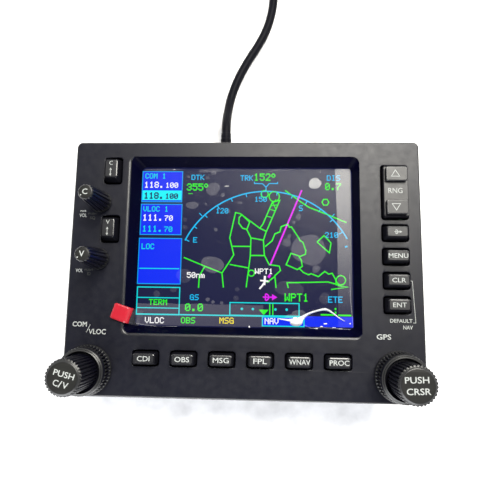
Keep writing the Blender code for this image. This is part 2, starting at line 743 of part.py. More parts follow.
def dual_knob(name, x, y):
    """An outer ring knob on a hollow shaft, and an inner push knob on the shaft inside it."""
    floor = encoder(
        name + "_dual_encoder", ENCODER_SIDE, ENCODER_HEIGHT, BUSHING_R, BUSHING_BORE_R, BUSHING_ABOVE, (x, y)
    )
    on_face = (x, y, FACE_Z)
    bore = OUTER_SHAFT_R + GAP
    ring = (
        (RING_RECESS_R, RING_ABOVE),
        (RING_FRONT_R - 0.0004, RING_ABOVE),
        (RING_FRONT_R, RING_ABOVE - 0.0005),
        (RING_FRONT_R + 0.0001, RING_ABOVE - 0.0022),
        (RING_SKIRT_R, RING_BOTTOM + 0.0012),
        (RING_SKIRT_R, RING_BOTTOM),
        (RING_HOLLOW_R, RING_BOTTOM),
        (RING_HOLLOW_R, RING_HOLLOW_TOP),
        (bore, RING_HOLLOW_TOP),
        (bore, RING_RECESS_FLOOR),
        (RING_RECESS_R, RING_RECESS_FLOOR),
    )
    finished(turned(name + "_outer_knob", ring, on_face, True), SOFT_BLACK, 0.4)

    plunger_top = floor + 0.0008 + PLUNGER_THICK - FACE_Z
    shaft_top = RING_RECESS_FLOOR - GAP
    shaft = (
        (OUTER_SHAFT_R, shaft_top),
        (OUTER_SHAFT_R, plunger_top + 0.0010),
        (OUTER_BORE_R, plunger_top + 0.0010),
        (OUTER_BORE_R, shaft_top),
    )
    finished(turned(name + "_outer_shaft", shaft, on_face, True, 20), STEEL, 0.3, 1.0)

    tip = INNER_KNOB_ABOVE - 0.0025
    inner = (
        (0.0, INNER_KNOB_ABOVE),
        (INNER_KNOB_R - 0.0011, INNER_KNOB_ABOVE),
        (INNER_KNOB_R, INNER_KNOB_ABOVE - 0.0012),
        (INNER_KNOB_R, INNER_KNOB_BOTTOM),
        (INNER_SHAFT_R + GAP, INNER_KNOB_BOTTOM),
        (INNER_SHAFT_R + GAP, tip + GAP),
        (0.0, tip + GAP),
    )
    finished(turned(name + "_inner_knob", inner, on_face), SOFT_BLACK, 0.4)

    rod = ((0.0, tip), (INNER_SHAFT_R, tip), (INNER_SHAFT_R, plunger_top + GAP), (0.0, plunger_top + GAP))
    finished(turned(name + "_inner_shaft", rod, on_face, False, 16), STEEL, 0.3, 1.0)
    plunger(name, plunger_top, on_face)


def plunger(name, top, place):
    disc = ((0.0, top), (PLUNGER_R, top), (PLUNGER_R, top - PLUNGER_THICK), (0.0, top - PLUNGER_THICK))
    finished(turned(name + "_push_plunger", disc, place, False, 16), (0.8, 0.8, 0.78), 0.5)


def volume_knob(name, x, y):
    """A tall slim push knob on a small encoder."""
    bore = INNER_SHAFT_R + GAP
    floor = encoder(
        name + "_encoder", VOLUME_SIDE, VOLUME_HEIGHT, VOLUME_BUSHING_R, bore, -GAP, (x, y)
    )
    on_face = (x, y, FACE_Z)
    profile = (
        (0.0, VOLUME_ABOVE),
        (VOLUME_TIP_R - 0.0005, VOLUME_ABOVE),
        (VOLUME_TIP_R, VOLUME_ABOVE - 0.0006),
        (VOLUME_WAIST_R, VOLUME_BOTTOM + 0.0050),
        (VOLUME_BASE_R, VOLUME_BOTTOM + 0.0016),
        (VOLUME_BASE_R, VOLUME_BOTTOM),
        (bore, VOLUME_BOTTOM),
        (bore, VOLUME_SHAFT_ABOVE + GAP),
        (0.0, VOLUME_SHAFT_ABOVE + GAP),
    )
    finished(turned(name + "_knob", profile, on_face, False, 24), SOFT_BLACK, 0.4)
    plunger_top = floor + 0.0008 + PLUNGER_THICK - FACE_Z
    rod = (
        (0.0, VOLUME_SHAFT_ABOVE),
        (INNER_SHAFT_R, VOLUME_SHAFT_ABOVE),
        (INNER_SHAFT_R, plunger_top + GAP),
        (0.0, plunger_top + GAP),
    )
    finished(turned(name + "_shaft", rod, on_face, False, 16), STEEL, 0.3, 1.0)
    plunger(name, plunger_top, on_face)


def encoder_nut(name, x, y):
    bm = bmesh.new()
    add_drum(bm, NUT_R, 0.0, NUT_THICK, (0.0, 0.0), 6)
    nut = object_of(name + "_encoder_nut", bm, (x, y, FACE_Z + GAP))
    bm = bmesh.new()
    add_drum(bm, BUSHING_R + GAP, -0.001, NUT_THICK + 0.001, (0.0, 0.0), 24)
    combine(nut, "DIFFERENCE", hidden(object_of(name + "_nut_bore", bm, nut.location)))
    finished(nut, STEEL, 0.35, 1.0)


def cable_gland():
    """The strain relief, turned about the cable's axis: +Z of its profile points out of the housing."""
    wall = HOUSING_WALL + GAP
    profile = (
        (0.0, GLAND_LENGTH),
        (GLAND_TIP_R, GLAND_LENGTH),
        (GLAND_COLLAR_R - 0.0010, 0.0045),
        (GLAND_COLLAR_R, 0.0040),
        (GLAND_COLLAR_R, GAP),
        (GLAND_R, GAP),
        (GLAND_R, -wall),
        (GLAND_COLLAR_R, -wall),
        (GLAND_COLLAR_R, -wall - GLAND_IN),
        (0.0, -wall - GLAND_IN),
    )
    gland = turned("cable_gland", profile, (CABLE_X, HOUSING_H / 2, GLAND_Z), False, 20)
    gland.rotation_euler = (-math.pi / 2, 0.0, 0.0)
    finished(gland, SOFT_BLACK, 0.6)


def usb_plug():
    """The overmoulded plug at the cable's far end, lying along +X, with its metal shell."""
    start_x = TAIL_ROUTE[-1][0] + GAP
    y = TAIL_ROUTE[-1][1]
    bm = bmesh.new()
    body_x = start_x + PLUG_BOOT + PLUG_BODY[0] / 2
    add_box(bm, PLUG_BODY, (body_x, y, PLUG_Z), 0.0020, 2)
    plug = object_of("usb_plug", bm)
    bm = bmesh.new()
    shell_x = body_x + PLUG_BODY[0] / 2 + PLUG_SHELL[0] / 2
    shell = (PLUG_SHELL[0] + 0.002, PLUG_SHELL[1], PLUG_SHELL[2])
    add_box(bm, shell, (shell_x - 0.001, y, PLUG_Z))
    boot = bmesh.ops.create_cone(
        bm, cap_ends=True, segments=16, radius1=0.0038, radius2=0.0029, depth=PLUG_BOOT + 0.001
    )["verts"]
    bmesh.ops.rotate(bm, verts=boot, matrix=Matrix.Rotation(-math.pi / 2, 3, "Y"))
    bmesh.ops.translate(bm, verts=boot, vec=(start_x + PLUG_BOOT / 2 + 0.0005, y, PLUG_Z))
    combine(plug, "UNION", hidden(object_of("plug_shell_and_boot", bm)))
    finished(plug, SOFT_BLACK, 0.5)


def cable():
    cable_gland()
    finished(tube("usb_cable", CABLE_ROUTE, CABLE_R, TUBE_STEP), SOFT_BLACK, 0.6)
    finished(tube("cable_tail", TAIL_ROUTE, CABLE_R, 0.006), SOFT_BLACK, 0.6)
    profile = (
        (COIL_OUT_R, COIL_TOP),
        (COIL_OUT_R, 0.0),
        (COIL_IN_R, 0.0),
        (COIL_IN_R, COIL_TOP),
    )
    finished(turned("cable_coil", profile, (*COIL_CENTRE, 0.0), True, 32), SOFT_BLACK, 0.6)
    usb_plug()
    inside_y = HOUSING_H / 2 - HOUSING_WALL - 3 * GAP - GLAND_IN
    header_face = HEADER_Y + HEADER[1] / 2 + 4 * GAP
    header_z = FACE_Z - MAIN_BOARD_BELOW + GAP + HEADER[2] / 2
    lead = (
        (CABLE_X, inside_y, GLAND_Z),
        (CABLE_X, inside_y - 0.0015, GLAND_Z + 0.0002),
        (CABLE_X, inside_y - 0.0038, GLAND_Z + 0.0020),
        (CABLE_X, 0.0432, 0.0175),
        (CABLE_X, 0.0418, 0.0218),
        (CABLE_X, header_face, header_z),
    )
    finished(tube("internal_lead", lead, 0.0016, 0.0030), SOFT_BLACK, 0.6)


clear_scene()
parts = new_collection("gps_control_head")
cutters = new_collection("gps_control_head_cutters")

front_bezel()
rear_housing()
back_cover()
cover_screws()
display()
key_board()
inner_boards()
for key_name, key_place, key_opening, key_face, shift in key_places():
    key(key_name, key_place, key_opening, key_face, shift)
range_rocker()
for knob_name, knob_x, knob_y in KNOB_PLACES:
    dual_knob(knob_name, knob_x, knob_y)
    encoder_nut(knob_name, knob_x, knob_y)
for knob_name, knob_x, knob_y in VOLUME_PLACES:
    volume_knob(knob_name, knob_x, knob_y)
cable()
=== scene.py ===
"""Looks of the GPS, radio and navigation control head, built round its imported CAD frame.

Frame: +X right and +Y up on the face, +Z out of the face, metres. Helpers that say mm take millimetres, and
"above" and "below" are heights measured from the bezel's front face.
"""

import math

import bmesh
import bpy
from mathutils import Matrix, Vector
from mathutils.geometry import tessellate_polygon


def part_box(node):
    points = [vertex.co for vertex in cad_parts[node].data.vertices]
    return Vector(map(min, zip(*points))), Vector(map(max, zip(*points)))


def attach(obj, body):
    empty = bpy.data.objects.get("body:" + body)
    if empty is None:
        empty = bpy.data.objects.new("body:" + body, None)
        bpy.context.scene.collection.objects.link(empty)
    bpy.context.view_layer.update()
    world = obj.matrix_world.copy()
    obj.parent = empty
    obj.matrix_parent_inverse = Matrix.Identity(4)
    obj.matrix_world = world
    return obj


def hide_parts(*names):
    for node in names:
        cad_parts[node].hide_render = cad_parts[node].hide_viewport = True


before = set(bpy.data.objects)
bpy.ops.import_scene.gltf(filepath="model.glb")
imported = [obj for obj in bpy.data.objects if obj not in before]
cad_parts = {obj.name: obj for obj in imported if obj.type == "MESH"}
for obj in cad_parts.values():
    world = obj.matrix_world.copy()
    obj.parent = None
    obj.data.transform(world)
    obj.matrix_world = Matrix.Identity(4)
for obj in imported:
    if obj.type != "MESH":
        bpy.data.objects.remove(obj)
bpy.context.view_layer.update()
MM = 0.001
TAU = 2 * math.pi
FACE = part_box("front_bezel")[1].z
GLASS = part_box("lcd_panel")[1].z
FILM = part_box("protective_film")[1].z


# ---------------------------------------------------------------- camera, light and floor


CAMERA_PLACE = (0.009515, -0.018781, FACE + 0.214273)
CAMERA_FORWARD = (-0.05098, 0.14188, -0.98857)
CAMERA_UP = (-0.00959, 0.98974, 0.14255)


def add_camera():
    """A camera that leans over the face from its lower side, with a normal lens."""
    data = bpy.data.cameras.new("camera")
    data.sensor_width = 36.0
    data.lens = 36.0
    data.clip_start = 0.01
    camera = bpy.data.objects.new("camera", data)
    bpy.context.scene.collection.objects.link(camera)
    forward = Vector(CAMERA_FORWARD).normalized()
    right = forward.cross(Vector(CAMERA_UP)).normalized()
    up = right.cross(forward)
    rotation = Matrix((right, up, -forward)).transposed()
    camera.matrix_world = Matrix.Translation(CAMERA_PLACE) @ rotation.to_4x4()
    bpy.context.scene.camera = camera


def add_lamp(name, place, target, size, power, colour):
    data = bpy.data.lights.new(name, "AREA")
    data.shape = "DISK"
    data.size = size
    data.energy = power
    data.color = colour
    lamp = bpy.data.objects.new(name, data)
    bpy.context.scene.collection.objects.link(lamp)
    lamp.location = place
    lamp.rotation_mode = "QUATERNION"
    lamp.rotation_quaternion = (Vector(target) - Vector(place)).to_track_quat("-Z", "Y")


def add_sky():
    """Soft light from all round, brighter near the horizon and dim and bluish overhead."""
    world = bpy.data.worlds.new("studio")
    world.use_nodes = True
    tree = world.node_tree
    split = tree.nodes.new("ShaderNodeSeparateXYZ")
    ramp = tree.nodes.new("ShaderNodeValToRGB")
    ramp.color_ramp.elements[0].position = 0.50
    ramp.color_ramp.elements[0].color = (1.0, 1.0, 1.0, 1.0)
    ramp.color_ramp.elements[1].position = 0.80
    ramp.color_ramp.elements[1].color = (0.04, 0.05, 0.10, 1.0)
    tree.links.new(tree.nodes.new("ShaderNodeTexCoord").outputs["Generated"], split.inputs["Vector"])
    tree.links.new(split.outputs["Z"], ramp.inputs["Fac"])
    tree.links.new(ramp.outputs["Color"], tree.nodes["Background"].inputs["Color"])
    tree.nodes["Background"].inputs["Strength"].default_value = 1.5
    bpy.context.scene.world = world


def add_studio():
    add_lamp("window_light", (0.17, 0.34, 0.62), (0.03, 0.03, FACE), 0.46, 9.5, (1.0, 0.97, 0.89))
    add_lamp("front_fill", (-0.16, -0.66, 0.20), (-0.01, -0.10, 0.0), 0.80, 10.0, (0.96, 0.98, 1.0))
    add_sky()
    bpy.context.scene.view_settings.view_transform = "Standard"
    bm = bmesh.new()
    bmesh.ops.create_grid(bm, x_segments=1, y_segments=1, size=3.0)
    mesh = bpy.data.meshes.new("floor")
    bm.to_mesh(mesh)
    bm.free()
    floor = bpy.data.objects.new("floor", mesh)
    bpy.context.scene.collection.objects.link(floor)
    paper = plastic("floor_paint", (0.94, 0.94, 0.94), 0.9, grain=3.0, bump=0.0, gloss=0.1)
    floor.data.materials.append(paper)


# ---------------------------------------------------------------- materials


CELL_PITCH = 0.17 * MM


class Nodes:
    """A material with a Principled shader, and short ways to add nodes to it."""

    def __init__(self, name):
        self.material = bpy.data.materials.new(name)
        self.material.use_nodes = True
        self.tree = self.material.node_tree
        self.shader = self.tree.nodes["Principled BSDF"]
        self.place = self.add("ShaderNodeTexCoord").outputs["Object"]

    def add(self, kind, **values):
        node = self.tree.nodes.new(kind)
        for key, value in values.items():
            setattr(node, key, value)
        return node

    def link(self, out, into):
        self.tree.links.new(out, into)

    def set(self, **values):
        for key, value in values.items():
            self.shader.inputs[key.replace("_", " ")].default_value = value

    def noise(self, scale, detail=3.0):
        node = self.add("ShaderNodeTexNoise")
        node.inputs["Scale"].default_value = scale
        node.inputs["Detail"].default_value = detail
        node.inputs["Roughness"].default_value = 0.55
        self.link(self.place, node.inputs["Vector"])
        return node.outputs["Fac"]

    def ramp(self, source, low, high, start=0.3, end=0.7):
        node = self.add("ShaderNodeValToRGB")
        node.color_ramp.elements[0].position = start
        node.color_ramp.elements[1].position = end
        node.color_ramp.elements[0].color = (*low, 1.0)
        node.color_ramp.elements[1].color = (*high, 1.0)
        self.link(source, node.inputs["Fac"])
        return node.outputs["Color"]

    def spread(self, source, low, high):
        node = self.add("ShaderNodeMapRange")
        node.inputs["From Min"].default_value = 0.25
        node.inputs["From Max"].default_value = 0.75
        node.inputs["To Min"].default_value = low
        node.inputs["To Max"].default_value = high
        self.link(source, node.inputs["Value"])
        return node.outputs["Result"]

    def cells(self, direction):
        """The display's fine rows or columns of cells."""
        node = self.add("ShaderNodeTexWave", bands_direction=direction)
        node.inputs["Scale"].default_value = 1.0 / CELL_PITCH / 20.0 * math.pi
        self.link(self.place, node.inputs["Vector"])
        return node.outputs["Fac"]

    def bump(self, source, depth):
        node = self.add("ShaderNodeBump")
        node.inputs["Distance"].default_value = depth
        node.inputs["Strength"].default_value = 1.0
        self.link(source, node.inputs["Height"])
        self.link(node.outputs["Normal"], self.shader.inputs["Normal"])


def plastic(name, colour, rough, grain=0.35, bump=0.02, gloss=0.25, vary=0.18):
    """Moulded plastic: cloudy tone, uneven sheen and a fine grain, grain and bump in mm."""
    m = Nodes(name)
    m.set(Specular_IOR_Level=gloss)
    low = tuple(c * (1 - vary) for c in colour)
    high = tuple(min(1.0, c * (1 + vary)) for c in colour)
    m.link(m.ramp(m.noise(90.0), low, high), m.shader.inputs["Base Color"])
    m.link(m.spread(m.noise(350.0), rough - 0.05, rough + 0.05), m.shader.inputs["Roughness"])
    if bump:
        m.bump(m.noise(1.0 / (grain * MM), 2.0), bump * MM)
    return m.material


def metal(name, colour, rough):
    """Plated or turned metal with fine marks that run round Z."""
    m = Nodes(name)
    m.set(Metallic=1.0)
    mapping = m.add("ShaderNodeMapping")
    mapping.inputs["Scale"].default_value = (1.0, 1.0, 12.0)
    m.link(m.place, mapping.inputs["Vector"])
    m.place = mapping.outputs["Vector"]
    marks = m.noise(1.0 / (0.25 * MM), 3.0)
    m.link(m.ramp(marks, tuple(c * 0.8 for c in colour), colour), m.shader.inputs["Base Color"])
    m.link(m.spread(marks, rough - 0.06, rough + 0.10), m.shader.inputs["Roughness"])
    m.bump(marks, 0.004 * MM)
    return m.material


def glow(name, colour, strength):
    """Lit screen picture, with the fine rows of the display's cells in it."""
    m = Nodes(name)
    m.set(Base_Color=(0.0, 0.0, 0.0, 1.0), Roughness=0.4, Specular_IOR_Level=0.1, Emission_Strength=strength)
    between_rows = tuple(c * 0.82 for c in colour)
    m.link(m.ramp(m.cells("Y"), between_rows, colour, 0.1, 0.6), m.shader.inputs["Emission Color"])
    return m.material


def haze(name, colour, alpha_low, alpha_high, scale=400.0):
    """Clear film that scatters a little light, unevenly."""
    m = Nodes(name)
    m.set(Specular_IOR_Level=0.5, Roughness=0.35)
    m.link(m.ramp(m.noise(scale), tuple(c * 0.9 for c in colour), colour), m.shader.inputs["Base Color"])
    m.link(m.spread(m.noise(scale * 0.7, 4.0), alpha_low, alpha_high), m.shader.inputs["Alpha"])
    return m.material


def display_glass():
    """The dark lit glass of the display."""
    m = Nodes("display_glass")
    m.set(Roughness=0.30, Specular_IOR_Level=0.12, Emission_Strength=1.0)
    cells = m.cells("X")
    base = m.ramp(m.noise(40.0), (0.0015, 0.0015, 0.003), (0.0025, 0.0025, 0.005))
    m.link(base, m.shader.inputs["Base Color"])
    tone = m.ramp(cells, (0.0035, 0.005, 0.034), (0.006, 0.008, 0.052), 0.1, 0.6)
    m.link(tone, m.shader.inputs["Emission Color"])
    return m.material


def circuit_board():
    """Green solder mask over faint copper tracks, with a fine weave."""
    m = Nodes("solder_mask")
    m.set(Specular_IOR_Level=0.5)
    brick = m.add("ShaderNodeTexBrick")
    brick.inputs["Scale"].default_value = 260.0
    brick.inputs["Color1"].default_value = (0.010, 0.085, 0.035, 1.0)
    brick.inputs["Color2"].default_value = (0.016, 0.115, 0.048, 1.0)
    brick.inputs["Mortar"].default_value = (0.030, 0.160, 0.060, 1.0)
    brick.inputs["Mortar Size"].default_value = 0.03
    m.link(m.place, brick.inputs["Vector"])
    m.link(brick.outputs["Color"], m.shader.inputs["Base Color"])
    m.link(m.spread(m.noise(500.0), 0.35, 0.5), m.shader.inputs["Roughness"])
    m.bump(brick.outputs["Fac"], 0.02 * MM)
    return m.material


# ---------------------------------------------------------------- mesh helpers


def quarter(count):
    """Angles from 0 to 90 degrees, evenly spread."""
    return [k / (count - 1) * math.pi / 2 for k in range(count)]


def smooth_path(points, steps, closed=False):
    """Points of a smooth curve, so many for each gap; an open curve's last point is left out."""
    spots = [Vector(p) for p in points]
    if closed:
        spots = [spots[-1], *spots, spots[0], spots[1]]
    else:
        spots = [2 * spots[0] - spots[1], *spots, 2 * spots[-1] - spots[-2]]
    fine = []
    for a, b, c, d in zip(spots, spots[1:], spots[2:], spots[3:]):
        for j in range(steps):
            t = j / steps
            square = (2 * a - 5 * b + 4 * c - d) * t * t
            cube = (3 * b - a - 3 * c + d) * t**3
            fine.append(0.5 * (2 * b + (c - a) * t + square + cube))
    return fine


def rounded_outline(width, height, corner, steps=6):
    """Points of a rounded rectangle about the origin, anticlockwise, the same number for any size."""
    points = []
    corner = max(corner, 0.00002)
    for i, (sx, sy) in enumerate(((1, 1), (-1, 1), (-1, -1), (1, -1))):
        for j in range(steps + 1):
            a = (i + j / steps) * math.pi / 2
            x = sx * (width / 2 - corner) + corner * math.cos(a)
            points.append((x, sy * (height / 2 - corner) + corner * math.sin(a)))
    return points


def round_outline(radius, steps=32):
    return [(radius * math.cos(TAU * i / steps), radius * math.sin(TAU * i / steps)) for i in range(steps)]


def loop(bm, outline, z, centre=(0.0, 0.0)):
    return [bm.verts.new((x + centre[0], y + centre[1], z)) for x, y in outline]


def bridge(bm, low, high, material=0):
    for i in range(len(low)):
        j = (i + 1) % len(low)
        bm.faces.new((low[i], low[j], high[j], high[i])).material_index = material


def chain(bm, loops, material=0):
    for a, b in zip(loops, loops[1:]):
        bridge(bm, a, b, material)


def cap(bm, loops, material=0):
    """A flat face with the first loop as its outline and the others as holes."""
    verts = [v for ring in loops for v in ring]
    for tri in tessellate_polygon([[v.co for v in ring] for ring in loops]):
        bm.faces.new([verts[i] for i in tri]).material_index = material


def sheet_of(bm, rows):
    """Faces between rows of vertices, like a woven sheet."""
    for a, b in zip(rows, rows[1:]):
        for k in range(len(a) - 1):
            bm.faces.new((a[k], a[k + 1], b[k + 1], b[k]))


def add_bar(bm, size, centre, material=0, turn=0.0):
    """A small plain bar for a moulded grip, contact or tab."""
    made = bmesh.ops.create_cube(bm, size=1.0)["verts"]
    bmesh.ops.scale(bm, vec=size, verts=made)
    bmesh.ops.rotate(bm, verts=made, matrix=Matrix.Rotation(turn, 3, "Z"))
    bmesh.ops.translate(bm, vec=centre, verts=made)
    for face in {f for v in made for f in v.link_faces}:
        face.material_index = material


def finish_mesh(name, bm, angle=35.0):
    bmesh.ops.recalc_face_normals(bm, faces=bm.faces)
    mesh = bpy.data.meshes.new(name)
    bm.to_mesh(mesh)
    bm.free()
    for polygon in mesh.polygons:
        polygon.use_smooth = True
    mesh.set_sharp_from_angle(angle=math.radians(angle))
    return mesh


def piece(name, mesh, materials, body="housing", replaces=(), weighted=True):
    """Puts a mesh in the scene as a named piece that rides on a body."""
    obj = bpy.data.objects.new(name, mesh)
    bpy.context.scene.collection.objects.link(obj)
    for material in materials if isinstance(materials, (list, tuple)) else [materials]:
        mesh.materials.append(material)
    if weighted:
        modifier = obj.modifiers.new("weighted_normal", "WEIGHTED_NORMAL")
        modifier.weight = 80
        modifier.keep_sharp = True
    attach(obj, body)
    if replaces:
        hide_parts(*replaces)
    return obj


def dress(node, *materials):
    """Gives a CAD node its finished material."""
    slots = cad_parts[node].data.materials
    slots.clear()
    for material in materials:
        slots.append(material)


def add_block(bm, size, low, high, centre, corner, edge):
    """A closed block with rounded uprights and rounded top and bottom edges."""
    levels = [(low, edge, edge), (low + edge * 0.3, edge * 0.3, edge * 0.3), (low + edge, 0.0, 0.0)]
    for a in quarter(5):
        levels.append((high - edge + edge * math.sin(a), edge * (1 - math.cos(a)), edge * 0.5))
    rings = []
    for z, inset, trim in levels:
        outline = rounded_outline(size[0] - 2 * inset, size[1] - 2 * inset, corner - trim)
        rings.append(loop(bm, outline, z, centre))
    chain(bm, rings)
    cap(bm, [rings[0]])
    cap(bm, [rings[-1]])


def lettering(text, width, height, centre, z, turn=0.0, bold=0.012):
    """Flat printed text as a mesh that fills width by height about centre."""
    curve = bpy.data.curves.new("lettering", "FONT")
    curve.body = text
    curve.size = 1.0
    curve.offset = bold
    curve.resolution_u = 3
    maker = bpy.data.objects.new("lettering", curve)
    bpy.context.scene.collection.objects.link(maker)
    mesh = bpy.data.meshes.new_from_object(maker)
    bpy.data.objects.remove(maker)
    low = [min(v.co[i] for v in mesh.vertices) for i in (0, 1)]
    high = [max(v.co[i] for v in mesh.vertices) for i in (0, 1)]
    middle = Vector(((low[0] + high[0]) / 2, (low[1] + high[1]) / 2, 0.0))
    grow = Matrix.Diagonal((width / (high[0] - low[0]), height / (high[1] - low[1]), 1.0, 1.0))
    mesh.transform(Matrix.Rotation(turn, 4, "Z") @ grow @ Matrix.Translation(-middle))
    mesh.transform(Matrix.Translation((*centre, z)))
    return mesh


def merged(name, meshes, bm=None):
    """One mesh of several, added to what bm holds already."""
    bm = bm or bmesh.new()
    for mesh in meshes:
        bm.from_mesh(mesh)
    for face in bm.faces:
        if face.normal.z < 0:
            face.normal_flip()
    mesh = bpy.data.meshes.new(name)
    bm.to_mesh(mesh)
    bm.free()
    return mesh


def printed(name, material, meshes=(), bm=None, body="housing"):
    """A flat piece of printing, or of the lit picture, of several meshes or of what bm holds."""
    return piece(name, merged(name, meshes, bm), material, body, weighted=False)


def stroke(bm, points, width, z, closed=False):
    """A flat line of even width through points, with mitred corners."""
    count = len(points)
    sides = []
    for i, point in enumerate(points):
        p = Vector(point)
        before = Vector(points[i - 1]) if (i or closed) else None
        after = Vector(points[(i + 1) % count]) if (i < count - 1 or closed) else None
        d1 = (p - before).normalized() if before is not None else None
        d2 = (after - p).normalized() if after is not None else None
        d1 = d1 or d2
        d2 = d2 or d1
        normal = Vector((-(d1.y + d2.y), d1.x + d2.x))
        if normal.length < 0.3:
            normal = Vector((-d2.y, d2.x))
        normal.normalize()
        reach = width / 2 / max(0.45, normal.dot(Vector((-d2.y, d2.x))))
        sides.append((p + normal * reach, p - normal * reach))
    verts = [(bm.verts.new((*a, z)), bm.verts.new((*b, z))) for a, b in sides]
    pairs = list(zip(verts, verts[1:]))
    if closed:
        pairs.append((verts[-1], verts[0]))
    for (a, b), (c, d) in pairs:
        bm.faces.new((a, b, d, c))


# ---------------------------------------------------------------- cable, coil, gland and plug

CABLE_D = 0.0048
COIL_CENTRE = (0.0440, 0.1985)
# Radius of the coil's inmost and outmost strands; a third column lies halfway
COIL_RADII = (0.0204, 0.0300)
CABLE_ROUTE = (
    (-0.0117, 0.0745, 0.0115),
    (-0.0117, 0.0785, 0.0112),
    (-0.0117, 0.0825, 0.0096),
    (-0.0115, 0.0880, 0.0064),
    (-0.0108, 0.0950, 0.0034),
    (-0.0098, 0.1000, 0.0025),
    (-0.0064, 0.1100, 0.0025),
    (-0.0003, 0.1221, 0.0025),
    (0.0050, 0.1310, 0.0025),
    (0.0093, 0.1400, 0.0025),
    (0.0122, 0.1500, 0.0025),
    (0.0136, 0.1610, 0.0025),
    (0.0140, 0.1720, 0.0025),
    (0.0140, 0.1850, 0.0025),
)
TAIL_ROUTE = (
    (0.0530, 0.2287, 0.0120),
    (0.0620, 0.2290, 0.0112),
    (0.0670, 0.2291, 0.0092),
    (0.0730, 0.2293, 0.0062),
    (0.0790, 0.2294, 0.0049),
    (0.0840, 0.2294, 0.0046),
)
# Turn count, column and layer where the winding changes: it shifts or climbs between two entries
WINDING = (
    (0.00, 2, 0),
    (0.83, 2, 0),
    (1.00, 1, 0),
    (1.83, 1, 0),
    (2.00, 0, 0),
    (2.67, 0, 0),
    (2.85, 0, 1),
    (3.50, 0, 1),
    (3.67, 1, 1),
    (4.50, 1, 1),
    (4.67, 2, 1),
    (5.27, 2, 1),
    (5.50, 1, 2),
    (6.09, 1, 2),
    (6.27, 2, 2),
    (7.25, 2, 2),
)
COIL_TURNS = WINDING[-1][0]
POINTS_PER_TURN = 20
# Turns between which the top strand humps over the one that it crosses, and how high
HUMP = (6.27, 6.50, 0.0032)


def winding_at(turn):
    """Radius and height of the coiled cable after so many turns."""
    stretches = zip(WINDING, WINDING[1:])
    (t0, c0, l0), (t1, c1, l1) = next(pair for pair in stretches if turn <= pair[1][0])
    share = (turn - t0) / (t1 - t0)
    share = share * share * (3 - 2 * share)
    column = c0 + (c1 - c0) * share
    layer = l0 + (l1 - l0) * share
    if c0 != c1 and l0 != l1:
        angle = share * math.pi / 2
        column = c1 + (c0 - c1) * math.cos(angle)
        layer = l0 + math.sin(angle)
    radius = COIL_RADII[0] + (COIL_RADII[1] - COIL_RADII[0]) / 2 * column
    height = CABLE_D / 2 + 0.0001 + CABLE_D * layer
    if HUMP[0] < turn < HUMP[1]:
        height += HUMP[2] * math.sin((turn - HUMP[0]) / (HUMP[1] - HUMP[0]) * math.pi)
    return radius, height


def cable_points():
    points = list(CABLE_ROUTE)
    steps = round(COIL_TURNS * POINTS_PER_TURN)
    for i in range(steps + 1):
        turn = COIL_TURNS * i / steps
        radius, height = winding_at(turn)
        angle = math.pi - TAU * turn
        x = COIL_CENTRE[0] + radius * math.cos(angle)
        points.append((x, COIL_CENTRE[1] + radius * math.sin(angle), height))
    return points + list(TAIL_ROUTE)


def add_cable(rubber):
    curve = bpy.data.curves.new("usb_cord", "CURVE")
    curve.dimensions = "3D"
    curve.bevel_depth = CABLE_D / 2
    curve.bevel_resolution = 5
    curve.resolution_u = 5
    curve.use_fill_caps = True
    spline = curve.splines.new("BEZIER")
    points = cable_points()
    spline.bezier_points.add(len(points) - 1)
    for spot, point in zip(spline.bezier_points, points):
        spot.co = point
        spot.handle_left_type = "AUTO"
        spot.handle_right_type = "AUTO"
    cable = bpy.data.objects.new("usb_cord", curve)
    bpy.context.scene.collection.objects.link(cable)
    curve.materials.append(rubber)
    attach(cable, "housing")
    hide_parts("usb_cable", "cable_coil", "cable_tail")
    return cable


def lathe(bm, profile, steps=40):
    """A closed body turned about Z from (radius, z) points, from its axis back to its axis."""
    rings = [loop(bm, round_outline(r, steps), z) for r, z in profile]
    chain(bm, rings)
    cap(bm, [rings[0]])
    cap(bm, [rings[-1]])


def add_gland(rubber):
    """The strain relief: a collar, a smooth neck and soft ribs that taper to the cable."""
    profile = [(0.0040, -0.0024), (0.0054, 0.0003), (0.0056, 0.0005), (0.0056, 0.0036), (0.0052, 0.0042)]
    profile.append((0.0037, 0.0044))
    ribs = 7
    start, end, tip = 0.0052, 0.0200, 0.0205
    step = (end - start) / ribs
    for i in range(ribs):
        z = start + (end - start) * i / ribs
        radius = 0.0036 - 0.0009 * i / (ribs - 1)
        groove = 0.0004 - 0.0003 * i / (ribs - 1)
        for share, drop in ((0.0, 1.0), (0.12, 0.2), (0.5, 0.0), (0.66, 0.2), (0.76, 1.0)):
            profile.append((radius - groove * drop, z + step * share))
    profile += [(0.0026, 0.0201), (0.0026, 0.0204), (0.0025, tip)]
    bm = bmesh.new()
    lathe(bm, profile)
    mesh = finish_mesh("cable_boot", bm, 50)
    low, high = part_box("cable_gland")
    place = Vector(((low.x + high.x) / 2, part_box("rear_housing")[1].y, (low.z + high.z) / 2))
    wall = place.y - 0.0002 - (high.y - tip)
    mesh.transform(Matrix.Translation(place - Vector((0, wall, 0))) @ Matrix.Rotation(-math.pi / 2, 4, "X"))
    return piece("cable_boot", mesh, rubber, "housing", ["cable_gland"])


# The plug's moulded body: distance from its start, width and height
PLUG_SECTIONS = (
    (0.0070, 0.0118, 0.0058),
    (0.0074, 0.0134, 0.0070),
    (0.0084, 0.0144, 0.0077),
    (0.0110, 0.0149, 0.0080),
    (0.0150, 0.0144, 0.0080),
    (0.0200, 0.0141, 0.0080),
    (0.0250, 0.0145, 0.0080),
    (0.0290, 0.0150, 0.0080),
    (0.0303, 0.0150, 0.0080),
    (0.0308, 0.0147, 0.0077),
    (0.0310, 0.0140, 0.0070),
)


